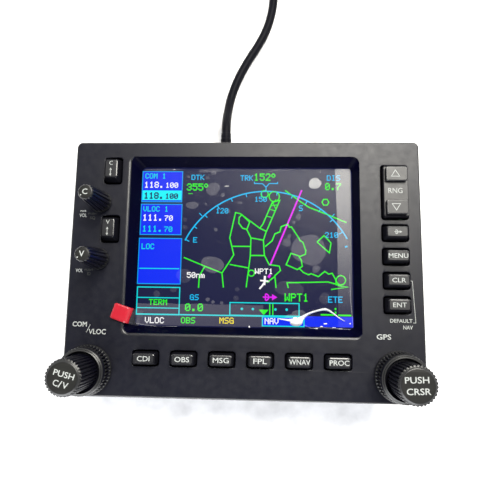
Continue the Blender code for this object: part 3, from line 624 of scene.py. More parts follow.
def section(bm, place, width, height, corner):
    """A rounded section across the plug, which lies along X."""
    x, y, z = place
    return [bm.verts.new((x, y + a, z + b)) for a, b in rounded_outline(width, height, corner)]


def add_plug_body(rubber, low, y, z):
    bm = bmesh.new()
    boot = [(0.0026, 0.0), (0.0029, 0.0003)]
    for i in range(4):
        r = 0.0029 + 0.0002 * i
        start = i * 0.0014
        boot += [(r, 0.0012 + start), (r - 0.0004, 0.0014 + start), (r - 0.0004, 0.0018 + start)]
        boot += [(r + 0.0002, 0.0020 + start)]
    boot += [(0.0038, 0.0072)]
    lathe(bm, boot, 32)
    bmesh.ops.rotate(bm, verts=bm.verts, matrix=Matrix.Rotation(math.pi / 2, 3, "Y"))
    bmesh.ops.translate(bm, verts=bm.verts, vec=(low.x, y, z))
    rings = [section(bm, (low.x + x, y, z), w, h, 0.0021) for x, w, h in PLUG_SECTIONS]
    chain(bm, rings)
    cap(bm, [rings[0]])
    cap(bm, [rings[-1]])
    for side in (-1, 1):
        for i in range(5):
            spot = (low.x + 0.0160 + i * 0.0022, y, z + side * 0.0039)
            add_bar(bm, (0.0009, 0.0090, 0.0004), spot)
    mesh = finish_mesh("plug_body", bm, 40)
    return piece("plug_body", mesh, rubber, "housing", ["usb_plug"])


def add_plug_shell(steel, start, end, y, z):
    """The metal shell, open at its end, with thin dark plates, a painted shade, for its contact windows, and
    the tongue in it.
    """
    bm = bmesh.new()
    outer = [section(bm, (x, y, z), 0.0120, 0.0045, 0.0005) for x in (start, end)]
    inner = [section(bm, (x, y, z), 0.0114, 0.0039, 0.0004) for x in (end, start)]
    chain(bm, [*outer, *inner, outer[0]])
    for side in (-1, 1):
        for across in (-0.0028, 0.0028):
            spot = (start + 0.0062, y + across, z + side * 0.00218)
            add_bar(bm, (0.0024, 0.0022, 0.0002), spot, 1)
    add_bar(bm, (0.0112, 0.0112, 0.0018), ((start + end) / 2, y, z + 0.0009), 2)
    # Painted shade: thin dark plates on the shell stand for the shade in its contact windows.
    holes = plastic("plug_hole_shade", (0.01, 0.01, 0.01), 0.7)
    tongue = plastic("plug_tongue_plastic", (0.72, 0.72, 0.70), 0.4)
    return piece("plug_shell", finish_mesh("plug_shell", bm), [steel, holes, tongue], "housing")


def add_plug(rubber, steel):
    low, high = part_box("usb_plug")
    y = (low.y + high.y) / 2
    z = (low.z + high.z) / 2
    return [add_plug_body(rubber, low, y, z), add_plug_shell(steel, low.x + 0.0305, high.x, y, z)]


# The tie's section round the coil's strands: distance from the coil's centre, and height
TIE_SECTION = (
    (0.0176, 0.0012), (0.0188, 0.0002), (0.0250, 0.0001), (0.0312, 0.0002), (0.0328, 0.0018),
    (0.0329, 0.0070), (0.0328, 0.0128), (0.0312, 0.0148), (0.0260, 0.0150), (0.0232, 0.0146),
    (0.0200, 0.0108), (0.0177, 0.0082), (0.0175, 0.0045),
)
# The strap's own section: distance across it, and out of the tie's section
STRAP_SECTION = (
    (-0.0036, 0.0), (-0.0040, 0.0004), (-0.0036, 0.0008), (0.0036, 0.0008), (0.0040, 0.0004), (0.0036, 0.0),
)
TIE_ANGLE = math.radians(172)


def add_tie(rubber):
    """A soft strap round the coil's strands near where the cable joins it."""
    fine = smooth_path(TIE_SECTION, 4, closed=True)
    middle = Vector((0.0252, 0.0072))
    across = Vector((-math.sin(TIE_ANGLE), math.cos(TIE_ANGLE), 0.0))
    out = Vector((math.cos(TIE_ANGLE), math.sin(TIE_ANGLE), 0.0))
    bm = bmesh.new()
    rings = []
    for side, grow in STRAP_SECTION:
        ring = []
        for point in fine:
            spot = point + (point - middle).normalized() * grow
            place = Vector((*COIL_CENTRE, max(spot.y, 0.0001))) + out * spot.x + across * side
            ring.append(bm.verts.new(place))
        rings.append(ring)
    chain(bm, [*rings, rings[0]])
    tab_place = Vector((*COIL_CENTRE, 0.0160)) + out * 0.0270
    add_bar(bm, (0.0110, 0.0066, 0.0009), tab_place, 0, TIE_ANGLE)
    return piece("coil_tie", finish_mesh("coil_tie", bm, 50), rubber, "housing")


# ---------------------------------------------------------------- front bezel

BEZEL_LOW, BEZEL_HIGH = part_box("front_bezel")
BEZEL_SIZE = (BEZEL_HIGH.x - BEZEL_LOW.x, BEZEL_HIGH.y - BEZEL_LOW.y)
PLATE_BACK = FACE - 0.0030
LIP = (0.1054, 0.0812, (-0.0003, 0.0104))
SIGHT = (0.0993, 0.0748, (0.00035, 0.0101))
WELL_DEPTH = 0.0062
BEZEL_CORNER = 0.0026
ROW_KEYS = ("key_cdi", "key_obs", "key_msg", "key_fpl", "key_vnav", "key_proc")
COLUMN_KEYS = ("key_direct_to", "key_menu", "key_clear", "key_enter")
SWAP_KEYS = ("key_com_swap", "key_nav_swap")
ROW_OPENING, ROW_FACE = (0.0120, 0.0069), (0.0094, 0.0039)
COLUMN_OPENING, COLUMN_FACE = (0.0118, 0.0077), (0.0091, 0.0045)
SWAP_OPENING, SWAP_FACE = (0.0083, 0.0127), (0.0054, 0.0084)
ROCKER_OPENING = (0.0119, 0.0250)
KNOBS = (("com", (-0.0676, -0.0463)), ("gps", (0.0676, -0.0463)))
VOLUMES = (("com_volume", (-0.0660, 0.0289)), ("nav_volume", (-0.0657, 0.0026)))


def middle_of(node):
    low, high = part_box(node)
    return ((low.x + high.x) / 2, (low.y + high.y) / 2)


def key_sizes():
    """Name, place, opening and top face of each key."""
    groups = (
        (ROW_KEYS, ROW_OPENING, ROW_FACE),
        (COLUMN_KEYS, COLUMN_OPENING, COLUMN_FACE),
        (SWAP_KEYS, SWAP_OPENING, SWAP_FACE),
    )
    return [(name, middle_of(name), opening, face) for names, opening, face in groups for name in names]


def add_opening(bm, outline_at, centre):
    """A hole through the plate with a rounded lip; returns its front and back loops."""
    edge = 0.00035
    rings = []
    for a in quarter(4):
        rings.append(loop(bm, outline_at(edge * (1 - math.sin(a))), FACE - edge * (1 - math.cos(a)), centre))
    rings.append(loop(bm, outline_at(0.0), PLATE_BACK, centre))
    chain(bm, rings)
    return rings[0], rings[-1]


def add_window(bm):
    """The screen's well: a lip, sloped walls in a darker, duller copy of the bezel plastic that paints their
    shade, and the collar behind the plate.

    The lip widens only to the left and down; there it is a lighter, glossier copy of the bezel plastic, a
    painted highlight, and its top and right are the dark copy, a painted shade.
    """
    wide, drop, near = 0.0013, 0.0007, 0.0012
    rings = []
    for a in quarter(8):
        grow = wide * (1 - math.sin(a))
        outline = rounded_outline(LIP[0] + grow, LIP[1] + grow, BEZEL_CORNER + grow / 2, 8)
        middle = (LIP[2][0] - grow / 2, LIP[2][1] - grow / 2)
        rings.append(loop(bm, outline, FACE - drop * (1 - math.cos(a)), middle))
    chain(bm, rings, 2)
    half_width, half_height = LIP[0] / 2, LIP[1] / 2
    # Painted shade: the lip's faces at the top and right take the dark copy of the plastic.
    for face in {f for ring in rings for v in ring for f in v.link_faces}:
        spot = face.calc_center_median() - Vector((*LIP[2], 0.0))
        at_right = spot.x > half_width - near and spot.y > near - half_height
        at_top = spot.y > half_height - near and spot.x > near - half_width
        if at_right or at_top:
            face.material_index = 1
    floor = FACE - WELL_DEPTH
    deep = loop(bm, rounded_outline(SIGHT[0], SIGHT[1], BEZEL_CORNER, 8), floor + 0.0002, SIGHT[2])
    chain(bm, [rings[-1], deep], 1)
    foot = loop(bm, rounded_outline(SIGHT[0] + 0.0004, SIGHT[1] + 0.0004, 0.0028, 8), floor, SIGHT[2])
    collar = rounded_outline(LIP[0] + 0.0040, LIP[1] + 0.0040, 0.0030, 8)
    outer = [loop(bm, collar, z, LIP[2]) for z in (floor, PLATE_BACK)]
    chain(bm, [deep, foot, *outer], 1)
    return rings[0], outer[-1]


def plate_openings():
    """Place of each key's and shaft's opening, with its outline at a distance outside it."""
    found = []
    holes = [(place, opening) for _, place, opening, _ in key_sizes()]
    holes.append((middle_of("range_rocker"), ROCKER_OPENING))
    for place, (w, h) in holes:
        found.append((place, lambda g, w=w, h=h: rounded_outline(w + 2 * g, h + 2 * g, 0.0012 + g)))
    for places, radius in ((KNOBS, 0.0048), (VOLUMES, 0.0034)):
        for _, place in places:
            found.append((place, lambda g, r=radius: round_outline(r + g)))
    return found


def add_bosses(bm):
    """The screws' bosses and the rocker pin's lugs, behind the plate."""
    profile = (
        (0.0034, PLATE_BACK + 0.0005),
        (0.0034, BEZEL_LOW.z),
        (0.0017, BEZEL_LOW.z),
        (0.0017, PLATE_BACK - 0.0060),
    )
    for i in range(4):
        place = middle_of(f"cover_screw_{i + 1}")
        boss = [loop(bm, round_outline(r, 24), z, place) for r, z in profile]
        chain(bm, boss)
        cap(bm, [boss[0]])
        cap(bm, [boss[-1]])
    x, y = middle_of("range_rocker")
    for side in (-0.0070, 0.0070):
        add_block(bm, (0.0020, 0.0050), FACE - 0.0080, PLATE_BACK + 0.0005, (x + side, y), 0.0004, 0.0001)


def add_bezel(skin, dark, rim):
    bm = bmesh.new()
    edge = 0.0009
    width, height = BEZEL_SIZE
    rings = []
    for a in quarter(6):
        inset = edge * (1 - math.sin(a))
        outline = rounded_outline(width - 2 * inset, height - 2 * inset, BEZEL_CORNER - inset, 8)
        rings.append(loop(bm, outline, FACE - edge * (1 - math.cos(a))))
    low = BEZEL_LOW.z
    rings.append(loop(bm, rounded_outline(width, height, BEZEL_CORNER, 8), low + 0.0003))
    rings.append(loop(bm, rounded_outline(width - 0.0006, height - 0.0006, 0.0023, 8), low))
    inner = rounded_outline(width - 0.0048, height - 0.0048, 0.0015, 8)
    rings.append(loop(bm, inner, low))
    rings.append(loop(bm, inner, PLATE_BACK))
    # The rounded front edge takes the lighter, glossier lip plastic: a painted highlight.
    chain(bm, rings[:6], 2)
    chain(bm, rings[5:])
    fronts, backs = [rings[0]], [rings[-1]]
    edges = [add_opening(bm, outline_at, place) for place, outline_at in plate_openings()]
    edges.append(add_window(bm))
    for front, back in edges:
        fronts.append(front)
        backs.append(back)
    cap(bm, fronts)
    cap(bm, backs)
    add_bosses(bm)
    mesh = finish_mesh("face_bezel", bm)
    # dark is the darker, duller copy of the bezel plastic that paints the shade in the well; rim is the
    # lighter, glossier copy that paints the highlight on the front edge and lip.
    piece("face_bezel", mesh, [skin, dark, rim], "housing", ["front_bezel"])


# ---------------------------------------------------------------- keys

KEY_TOP = FACE + 0.0042
KEY_BASE = FACE - 0.0033
KEY_STEM = (0.0032, 0.0032)
# How far printing stands above the surface that it is on
PRINT = 0.00004
# How far each ring of a key's edge stands outside its face, and below its top
KEY_EDGE = ((0.0004, 0.00055), (0.00027, 0.00030), (0.00020, 0.00021), (-0.00018, 0.00008), (-0.00034, 0.0))
KEY_WORDS = {
    "key_cdi": ("CDI", 5.5),
    "key_obs": ("OBS", 6.4),
    "key_msg": ("MSG", 6.9),
    "key_fpl": ("FPL", 5.8),
    "key_vnav": ("WNAV", 9.0),
    "key_proc": ("PROC", 8.3),
    "key_menu": ("MENU", 8.4),
    "key_clear": ("CLR", 5.9),
    "key_enter": ("ENT", 5.8),
}


def on_lamp_side(name, place, face, spot):
    """Whether a spot on a key's edge is on the side towards the lamp, where a glossier copy of the key
    plastic paints a highlight: the top, or a transfer key's right.
    """
    if name in SWAP_KEYS:
        return spot.x > place[0] + face[0] / 2 - 0.0004
    return spot.y > place[1] + face[1] / 2 - 0.0004


def add_key(name, place, opening, face, skin):
    """A key's cap with soft edges, on the flange and stem that it has behind the plate."""
    width, height = opening[0] - 0.0007, opening[1] - 0.0007
    bm = bmesh.new()
    rings = [loop(bm, rounded_outline(width, height, 0.0010), KEY_BASE, place)]
    for share in (0.3, 0.6, 0.85):
        w = width + (face[0] + 0.0006 - width) * share
        h = height + (face[1] + 0.0006 - height) * share
        rings.append(loop(bm, rounded_outline(w, h, 0.0011), KEY_BASE + (KEY_TOP - KEY_BASE) * share, place))
    # The sides take material 0, the darker, duller copy of the key plastic: a painted shade.
    chain(bm, rings)
    rim = rings[-1:]
    for grow, drop in KEY_EDGE:
        outline = rounded_outline(face[0] + 2 * grow, face[1] + 2 * grow, 0.0010 + grow)
        rim.append(loop(bm, outline, KEY_TOP - drop, place))
    chain(bm, rim[:3])
    chain(bm, rim[2:])
    # Painted highlight and shade: edge faces on the lamp side get the glossier copy of the plastic, the other
    # edge faces the darker, duller copy.
    for edge_face in {f for v in rim[3] for f in v.link_faces}:
        edge_face.material_index = 2 if on_lamp_side(name, place, face, edge_face.calc_center_median()) else 0
    cap(bm, [rings[0]])
    cap(bm, [rim[-1]], 1)
    flange = (width + 0.0020, height + 0.0020)
    add_block(bm, flange, KEY_BASE - 0.0012, KEY_BASE + 0.0001, place, 0.0008, 0.00015)
    stem_x = place[0] - 0.0015 if name in SWAP_KEYS else place[0]
    stem_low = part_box(name)[0].z
    add_block(bm, KEY_STEM, stem_low, KEY_BASE - 0.0010, (stem_x, place[1]), 0.0003, 0.0001)
    piece(name + "_cap", finish_mesh(name + "_cap", bm, 50), skin, name, [name])


def add_direct_to_legend(paint, z):
    """A letter D with an arrow through it."""
    x, y = middle_of("key_direct_to")
    bm = bmesh.new()
    angles = [math.radians(d) for d in range(-90, 91, 20)]
    stroke(bm, [(x - 0.0008 + 0.0009 * math.cos(a), y + 0.0009 * math.sin(a)) for a in angles], 0.0003, z)
    stroke(bm, [(x - 0.0008, y + 0.0009), (x - 0.0008, y - 0.0009)], 0.0003, z)
    stroke(bm, [(x - 0.0014, y), (x + 0.0010, y)], 0.0003, z)
    add_triangle(bm, (x + 0.0008, y), 0.0011, 0.0011, 0.0, z)
    printed("key_direct_to_legend", paint, bm=bm, body="key_direct_to")


def add_swap_legend(name, letter, paint, z):
    """A letter over an arrow with two heads."""
    x, y = middle_of(name)
    bm = bmesh.new()
    ax, ay = x - 0.0001, y - 0.0016
    stroke(bm, [(ax, ay + 0.0011), (ax, ay - 0.0011)], 0.0003, z)
    add_triangle(bm, (ax, ay + 0.0009), 0.0011, 0.0011, math.pi / 2, z)
    add_triangle(bm, (ax, ay - 0.0009), 0.0011, 0.0011, -math.pi / 2, z)
    mesh = lettering(letter, 0.0017, 0.0019, (x, y + 0.0026), z, 0.0, 0.0)
    printed(name + "_legend", paint, [mesh], bm, name)


def add_keys(skin, paint):
    for name, place, opening, face in key_sizes():
        add_key(name, place, opening, face, skin)
    z = KEY_TOP + PRINT
    for name, (word, width) in KEY_WORDS.items():
        x, y = middle_of(name)
        height = 2.2 if name in ROW_KEYS else 2.0
        mesh = lettering(word, width * MM, height * MM, (x, y + 0.0001), z, 0.0, 0.008)
        printed(name + "_legend", paint, [mesh], body=name)
    add_direct_to_legend(paint, z)
    for name, letter in zip(SWAP_KEYS, "CV"):
        add_swap_legend(name, letter, paint, z)


def add_triangle(bm, place, length, width, turn, z):
    """A filled arrow head whose base is at place and whose tip points along turn."""
    ahead = Vector((math.cos(turn), math.sin(turn)))
    side = Vector((-ahead.y, ahead.x)) * width / 2
    base = Vector(place)
    bm.faces.new([bm.verts.new((*p, z)) for p in (base - side, base + ahead * length, base + side)])


ROCKER_SIZE = (0.0109, 0.0238)
ROCKER_MID = FACE + 0.0028
PAD_SIZE = (0.0094, 0.0066)
PAD_TOP = FACE + 0.0048
PAD_AWAY = 0.0075


def add_rocker(skin, paint):
    """The two-way range key: a low middle, a raised pad at each end, and its hub and stems behind."""
    x, y = middle_of("range_rocker")
    stem_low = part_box("range_rocker")[0].z
    bm = bmesh.new()
    add_block(bm, ROCKER_SIZE, KEY_BASE, ROCKER_MID, (x, y), 0.0012, 0.0004)
    for side in (-1, 1):
        start = len(bm.faces)
        add_block(bm, PAD_SIZE, FACE + 0.0020, PAD_TOP, (x, y + side * PAD_AWAY), 0.0010, 0.0004)
        bm.faces.ensure_lookup_table()
        # The pads' sides keep material 0, the darker, duller copy that paints shade; their top edges get
        # material 2, the glossier copy that paints a highlight.
        for face in bm.faces[start:]:
            below = PAD_TOP - face.calc_center_median().z
            if below < 0.00035:
                face.material_index = 1 if below < 0.00001 else 2
        add_block(bm, KEY_STEM, stem_low, FACE - 0.0030, (x, y + side * 0.0085), 0.0003, 0.0001)
    add_block(bm, (0.0080, 0.0046), FACE - 0.0076, FACE - 0.0030, (x, y), 0.0004, 0.0001)
    for face in bm.faces:
        spot = face.calc_center_median()
        if abs(spot.z - ROCKER_MID) < 0.0001 and abs(spot.y - y) < 0.0110:
            face.material_index = 1
    mesh = finish_mesh("range_rocker_cap", bm, 50)
    piece("range_rocker_cap", mesh, skin, "range_rocker", ["range_rocker"])
    bm = bmesh.new()
    for side in (-1, 1):
        middle = y + side * PAD_AWAY
        tip, base = middle + side * 0.0016, middle - side * 0.0013
        arrow_x = x - 0.0006
        arrow = [(arrow_x - 0.0018, base), (arrow_x, tip), (arrow_x + 0.0018, base)]
        stroke(bm, arrow, 0.00026, PAD_TOP + PRINT, closed=True)
    mesh = lettering("RNG", 0.0062, 0.0024, (x - 0.0003, y + 0.0002), ROCKER_MID + PRINT, 0.0, 0.0)
    printed("range_rocker_legend", paint, [mesh], bm, "range_rocker")


# ---------------------------------------------------------------- knobs


def knurled(rows, ribs, per_rib, place, start=0.0):
    """A turned body whose rows are (radius, height above the face, rib depth), from its bore out and back."""
    bm = bmesh.new()
    count = ribs * per_rib
    rings = []
    for radius, above, depth in rows:
        outline = []
        for i in range(count):
            wave = 0.5 - 0.5 * math.cos(TAU * i / per_rib)
            cut = depth * (1.0 - min(1.0, 1.7 * wave))
            a = start + TAU * i / count
            outline.append(((radius - cut) * math.cos(a), (radius - cut) * math.sin(a)))
        rings.append(loop(bm, outline, FACE + above, place))
    return bm, rings


RING_ROWS = (
    (0.00330, 0.0052, 0.0), (0.00760, 0.0052, 0.0), (0.00760, 0.0016, 0.0),
    (0.00780, 0.0015, 0.0), (0.01060, 0.0015, 0.0), (0.01086, 0.0017, 0.0),
    (0.01088, 0.0022, 0.0), (0.01078, 0.0026, 0.0002), (0.01062, 0.0029, 0.0008),
    (0.01052, 0.0034, 0.0010), (0.01046, 0.0068, 0.0010), (0.01042, 0.0074, 0.0008),
    (0.01030, 0.0078, 0.0003), (0.01010, 0.0080, 0.0), (0.00997, 0.0084, 0.0),
    (0.00995, 0.0100, 0.0), (0.00990, 0.0104, 0.0), (0.00945, 0.0107, 0.0),
    (0.00938, 0.0105, 0.0), (0.00928, 0.0109, 0.0), (0.00880, 0.0112, 0.0),
    (0.00860, 0.0111, 0.0), (0.00855, 0.0104, 0.0), (0.00800, 0.0098, 0.0),
    (0.00800, 0.0085, 0.0), (0.00330, 0.0085, 0.0),
)


def add_ring_knob(name, place, skins):
    """The fluted outer ring, whose bevels above and below its flutes and round its front are a lighter,
    glossier copy of the knob plastic that paints their highlights.
    """
    bm, rings = knurled(RING_ROWS, 44, 8, place)
    for start, end, material in ((0, 6, 0), (5, 9, 1), (8, 11, 0), (10, 14, 1), (13, 16, 0), (15, 22, 1)):
        chain(bm, rings[start:end], material)
    chain(bm, rings[21:] + [rings[0]])
    mesh = finish_mesh(name + "_ring_knob", bm, 40)
    piece(name + "_ring_knob", mesh, skins, name + "_outer_ring", [name + "_outer_knob"])


def add_push_knob(name, place, top, radius, skins):
    """The taller fluted knob inside the ring, so high above the face."""
    rows = [
        (0.0018, 0.0241, 0.0), (0.0018, 0.0095, 0.0), (0.0068, 0.0095, 0.0), (0.0073, 0.0098, 0.0003),
        (0.0074, 0.0102, 0.0007), (radius, 0.0170, 0.0007),
    ]
    for inset, drop, depth in (
        (0.0, 0.0018, 0.0007), (0.0, 0.0011, 0.0006), (0.0001, 0.0008, 0.0004), (0.0005, 0.0006, 0.0001),
        (0.0007, 0.00055, 0.0), (0.0010, 0.0003, 0.0), (0.0012, 0.0001, 0.0), (0.0015, 0.0, 0.0),
    ):
        rows.append((radius - inset, top - drop, depth))
    bm, rings = knurled(rows, 32, 8, place, 0.05)
    chain(bm, rings[:8])
    # The flutes' upper end and the rounded top edge take material 1, the lighter, glossier copy: a painted
    # highlight.
    chain(bm, rings[7:], 1)
    cap(bm, [rings[0]])
    cap(bm, [rings[-1]], 2)
    mesh = finish_mesh(name + "_push_knob", bm, 40)
    piece(name + "_push_knob", mesh, skins, name + "_inner", [name + "_inner_knob"])


# Word, its width and height, and its place across and up from the knob's middle, in mm
KNOB_WORDS = {
    "com": (("PUSH", 8.4, 2.3, 0.3, 1.5), ("C", 2.1, 2.4, -1.9, -2.3), ("V", 2.3, 2.4, 2.0, -2.3)),
    "gps": (("PUSH", 9.0, 2.4, -0.5, 2.2), ("CRSR", 9.0, 2.4, -0.1, -2.0)),
}


def add_dual_knob(name, place, top, radius, turn, skins, paint):
    """A ring knob, its inner knob and the words on it; skins are the side material, the lighter, glossier
    bevel material that paints highlights, and the face material.
    """
    add_ring_knob(name, place, skins)
    add_push_knob(name, place, top, radius, skins)
    x, y = place
    z = FACE + top + PRINT
    tilt = Matrix.Rotation(turn, 2)
    meshes = []
    for word, w, h, across, up in KNOB_WORDS[name]:
        spot = tilt @ Vector((across * MM, up * MM))
        meshes.append(lettering(word, w * MM, h * MM, (x + spot.x, y + spot.y), z, turn, 0.010))
    bm = bmesh.new()
    if name == "com":
        ends = [tilt @ Vector(p) for p in ((-0.0005, -0.0036), (0.0004, -0.0010))]
        stroke(bm, [(x + p.x, y + p.y) for p in ends], 0.0004, z)
    printed(name + "_push_legend", paint, meshes, bm, name + "_inner")


VOLUME_TOP = 0.0210
VOLUME_ROWS = (
    (0.0018, 0.0153, 0.0), (0.0018, 0.0012, 0.0), (0.0046, 0.0012, 0.0), (0.0049, 0.0014, 0.0001),
    (0.0050, 0.0018, 0.0001), (0.0050, 0.0026, 0.0004), (0.0048, 0.0034, 0.0006), (0.0047, 0.0045, 0.0006),
    (0.0044, 0.0085, 0.0006), (0.0039, 0.0140, 0.0006), (0.0034, 0.0198, 0.0004), (0.00330, 0.0203, 0.0002),
    (0.0031, 0.0205, 0.0), (0.0029, 0.0209, 0.0), (0.0026, VOLUME_TOP, 0.0),
)


def add_volume_knob(name, place, letter, skin, paint):
    """A slim fluted knob with a wide foot, and the letter and index dot on its end."""
    x, y = place
    bm, rings = knurled(VOLUME_ROWS, 15, 10, place)
    # Material 1, on the foot's bevels and round the top, is the lighter, glossier copy of the knob plastic: a
    # painted highlight.
    for start, end, material in ((0, 4, 0), (3, 7, 1), (6, 11, 0), (10, 15, 1)):
        chain(bm, rings[start:end], material)
    cap(bm, [rings[0]])
    cap(bm, [rings[-1]], 2)
    body = name + "_turning"
    piece(name + "_cap", finish_mesh(name + "_cap", bm, 40), skin, body, [name + "_knob"])
    z = FACE + VOLUME_TOP + PRINT
    bm = bmesh.new()
    bm.faces.new([bm.verts.new((x - 0.0018 + a, y - 0.0014 + b, z)) for a, b in round_outline(0.00030, 14)])
    mesh = lettering(letter, 0.0022, 0.0024, (x - 0.0001, y + 0.0001), z, 0.0, 0.012)
    printed(name + "_pointer", paint, [mesh], bm, body)


# ---------------------------------------------------------------- printed legends on the face


# Word, the place of its middle, and its width and height, in mm
FACE_WORDS = (
    ("COM", -72.7, -26.7, 6.5, 2.2), ("VLOC", -64.6, -29.9, 7.8, 2.3), ("GPS", 61.5, -29.8, 6.2, 2.3),
    ("DEFAULT", 69.1, -22.8, 9.6, 1.6), ("NAV", 71.9, -25.6, 4.1, 1.7), ("VOL", -74.3, 22.8, 3.5, 1.7),
    ("VOL", -74.5, -2.7, 3.4, 1.6), ("PWR", -74.3, 24.8, 2.8, 0.9),
)
SMALL_WORDS = (
    ("PUSH", -70.1, 23.6, 3.6, 0.9), ("SQ", -69.8, 21.6, 2.4, 1.6), ("PUSH", -70.2, -2.4, 3.6, 0.9),
    ("ID", -70.0, -4.1, 1.5, 1.5),
)


def face_lettering(words, bold):
    z = FACE + PRINT
    return [lettering(word, w * MM, h * MM, (x * MM, y * MM), z, 0.0, bold) for word, x, y, w, h in words]


def add_face_legends(paint, dim_paint):
    """The printed words, the slash between two of them and the bracket beside the lower right keys."""
    bm = bmesh.new()
    stroke(bm, [(-0.0695, -0.0303), (-0.0679, -0.0268)], 0.00022, FACE + PRINT)
    bracket = [(0.0733, -0.0055), (0.0744, -0.0055), (0.0753, -0.0236), (0.0742, -0.0236)]
    stroke(bm, bracket, 0.00022, FACE + PRINT)
    printed("face_legends", paint, face_lettering(FACE_WORDS, 0.018), bm)
    printed("face_small_legends", dim_paint, face_lettering(SMALL_WORDS, 0.0))


# ---------------------------------------------------------------- screen picture

GLYPHS = {
    "0": "0E 11 13 15 19 11 0E", "1": "04 0C 04 04 04 04 0E", "2": "0E 11 01 02 04 08 1F",
    "3": "0E 11 01 06 01 11 0E", "5": "1F 10 1E 01 01 11 0E", "7": "1F 01 02 04 08 08 08",
    "8": "0E 11 11 0E 11 11 0E", "A": "0E 11 11 1F 11 11 11", "B": "1E 11 11 1E 11 11 1E",
    "C": "0E 11 10 10 10 11 0E", "D": "1E 11 11 11 11 11 1E", "E": "1F 10 10 1E 10 10 1F",
    "G": "0E 11 10 17 11 11 0F", "I": "0E 04 04 04 04 04 0E", "K": "11 12 14 18 14 12 11",
    "L": "10 10 10 10 10 10 1F", "M": "11 1B 15 15 11 11 11", "N": "11 19 15 13 11 11 11",
    "O": "0E 11 11 11 11 11 0E", "P": "1E 11 11 1E 10 10 10", "R": "1E 11 11 1E 14 12 11",
    "S": "0F 10 10 0E 01 01 1E", "T": "1F 04 04 04 04 04 04", "V": "11 11 11 11 11 0A 04",
    "W": "11 11 11 15 15 1B 11", "n": "00 00 1E 11 11 11 11", "m": "00 00 1A 15 15 15 15",
    "*": "0C 12 12 0C 00 00 00", ".": "00 00 00 00 00 0C 0C", " ": "00 00 00 00 00 00 00",
}


def spell(bm, text, x, y, height, advance, z, fat=1.18):
    """Screen text of small lit blocks, x and y its lower left in mm."""
    cell_h = height / 7
    cell_w = advance / 6
    for i, letter in enumerate(text):
        for row, bits in enumerate(GLYPHS[letter].split()):
            value = int(bits, 16)
            column = 0
            while column < 5:
                run = 0
                while column + run < 5 and value >> (4 - column - run) & 1:
                    run += 1
                if run:
                    left = x + i * advance + column * cell_w
                    top = y + (7 - row) * cell_h
                    wide = (run - 1 + fat) * cell_w
                    tall = fat * cell_h
                    corners = ((left, top - tall), (left + wide, top - tall), (left + wide, top), (left, top))
                    bm.faces.new([bm.verts.new((a * MM, b * MM, z)) for a, b in corners])
                column += max(run, 1)


def fill_box(bm, x0, y0, x1, y1, z):
    bm.faces.new([bm.verts.new((a * MM, b * MM, z)) for a, b in ((x0, y0), (x1, y0), (x1, y1), (x0, y1))])


def draw(bm, points, width, z, closed=False):
    stroke(bm, [(x * MM, y * MM) for x, y in points], width * MM, z, closed)


def draw_box(bm, x0, y0, x1, y1, width, z):
    draw(bm, [(x0, y0), (x1, y0), (x1, y1), (x0, y1)], width, z, True)


def draw_ring(bm, x, y, radius, width, z, steps=18, start=0.0, end=360.0):
    angles = [math.radians(start + (end - start) * i / steps) for i in range(steps + 1)]
    draw(bm, [(x + radius * math.cos(a), y + radius * math.sin(a)) for a in angles], width, z)


# Lines of the screen's map, as points in mm from the middle of the face
MAP_LINES = (
    ((-28, 4.5), (-18, 0.5), (-10, -2.5), (-6.5, 3), (-4.7, 6), (-6.7, 14), (-4.2, 26), (-2, 25.5),
     (7.3, 18.6), (10.3, 17.2), (9, 13), (3.2, 14), (1.2, 18), (2.5, 21.5)),
    ((-18, 0.5), (-20.5, -4), (-20.7, -9.5)),
    ((-10, -2.5), (-9.2, -9.2)),
    ((-5.5, 10), (3, 10)),
    ((-6.5, 1.5), (2, 0)),
    ((7.3, 18.6), (8.7, 20.6), (13, 31), (16.5, 32), (10.4, 17.2)),
    ((2.5, 21.5), (-1.2, 25.0), (-2.5, 23.6), (-2.6, 21.0), (-0.8, 18.6), (1.2, 18)),
    ((3.2, 14), (3, 5.5), (1.3, -9)),
    ((3, 5.8), (9.3, 5.8)),
    ((9, 13), (9.5, 6), (11.8, 1.6), (16.4, 1), (17, -1), (14.4, -3.5), (15, -9)),
    ((14.2, -4), (10.8, -6.6)),
    ((9.8, 10), (13, 12.7), (14.3, 16), (16.6, 17), (17.2, 19.4), (20.2, 20.7), (21, 19.2), (22, 19.4),
     (25, 14.8), (26, 13), (27.3, 12.2), (28.6, 8.3), (28.4, 6.6), (26, 5.6), (21.8, 7), (19.6, 1.7),
     (24.7, -0.5), (27, 1),
     (26.5, 4), (25.4, 5.6)),
    ((25.6, 0), (27.5, -1.8), (29.8, -2.8), (31, -2.3), (34.3, -3.6), (37.2, -1.2), (39, -2.4), (40.6, -2),
     (42.2, -5), (42.4, -7.5)),
    ((20.6, -9), (20, -6.6), (38.7, -6), (42.5, -7), (43.5, -7.6), (47.6, -8.2), (40, -9.4)),
    ((19, 36.8), (25.4, 32), (30, 28.8), (35, 26.8), (39, 25.2), (47.4, 21.6)),
    ((33.8, 12.4), (37, 15.4), (38.6, 13.8), (40.2, 12), (39.4, 7.4), (33.8, 12.4)),
)
# Place of the middle and radius in mm, and number of sides
MAP_RINGS = (
    (13.9, 33.8, 2.4, 20), (9.4, 35.0, 1.7, 14), (44.5, -5.1, 2.1, 18), (3.6, -2.4, 1.4, 14),
    (37.8, 31.2, 1.6, 6),
)
MAP_RUNGS = (
    ((10.3, 24.4), (12.7, 23.8)), ((11.7, 27.8), (14.1, 27.0)), ((12.6, 29.4), (15.2, 29.8)),
    ((12.9, 31.5), (14.6, 28.0)), ((14.8, 32.4), (12.8, 30.0)),
)
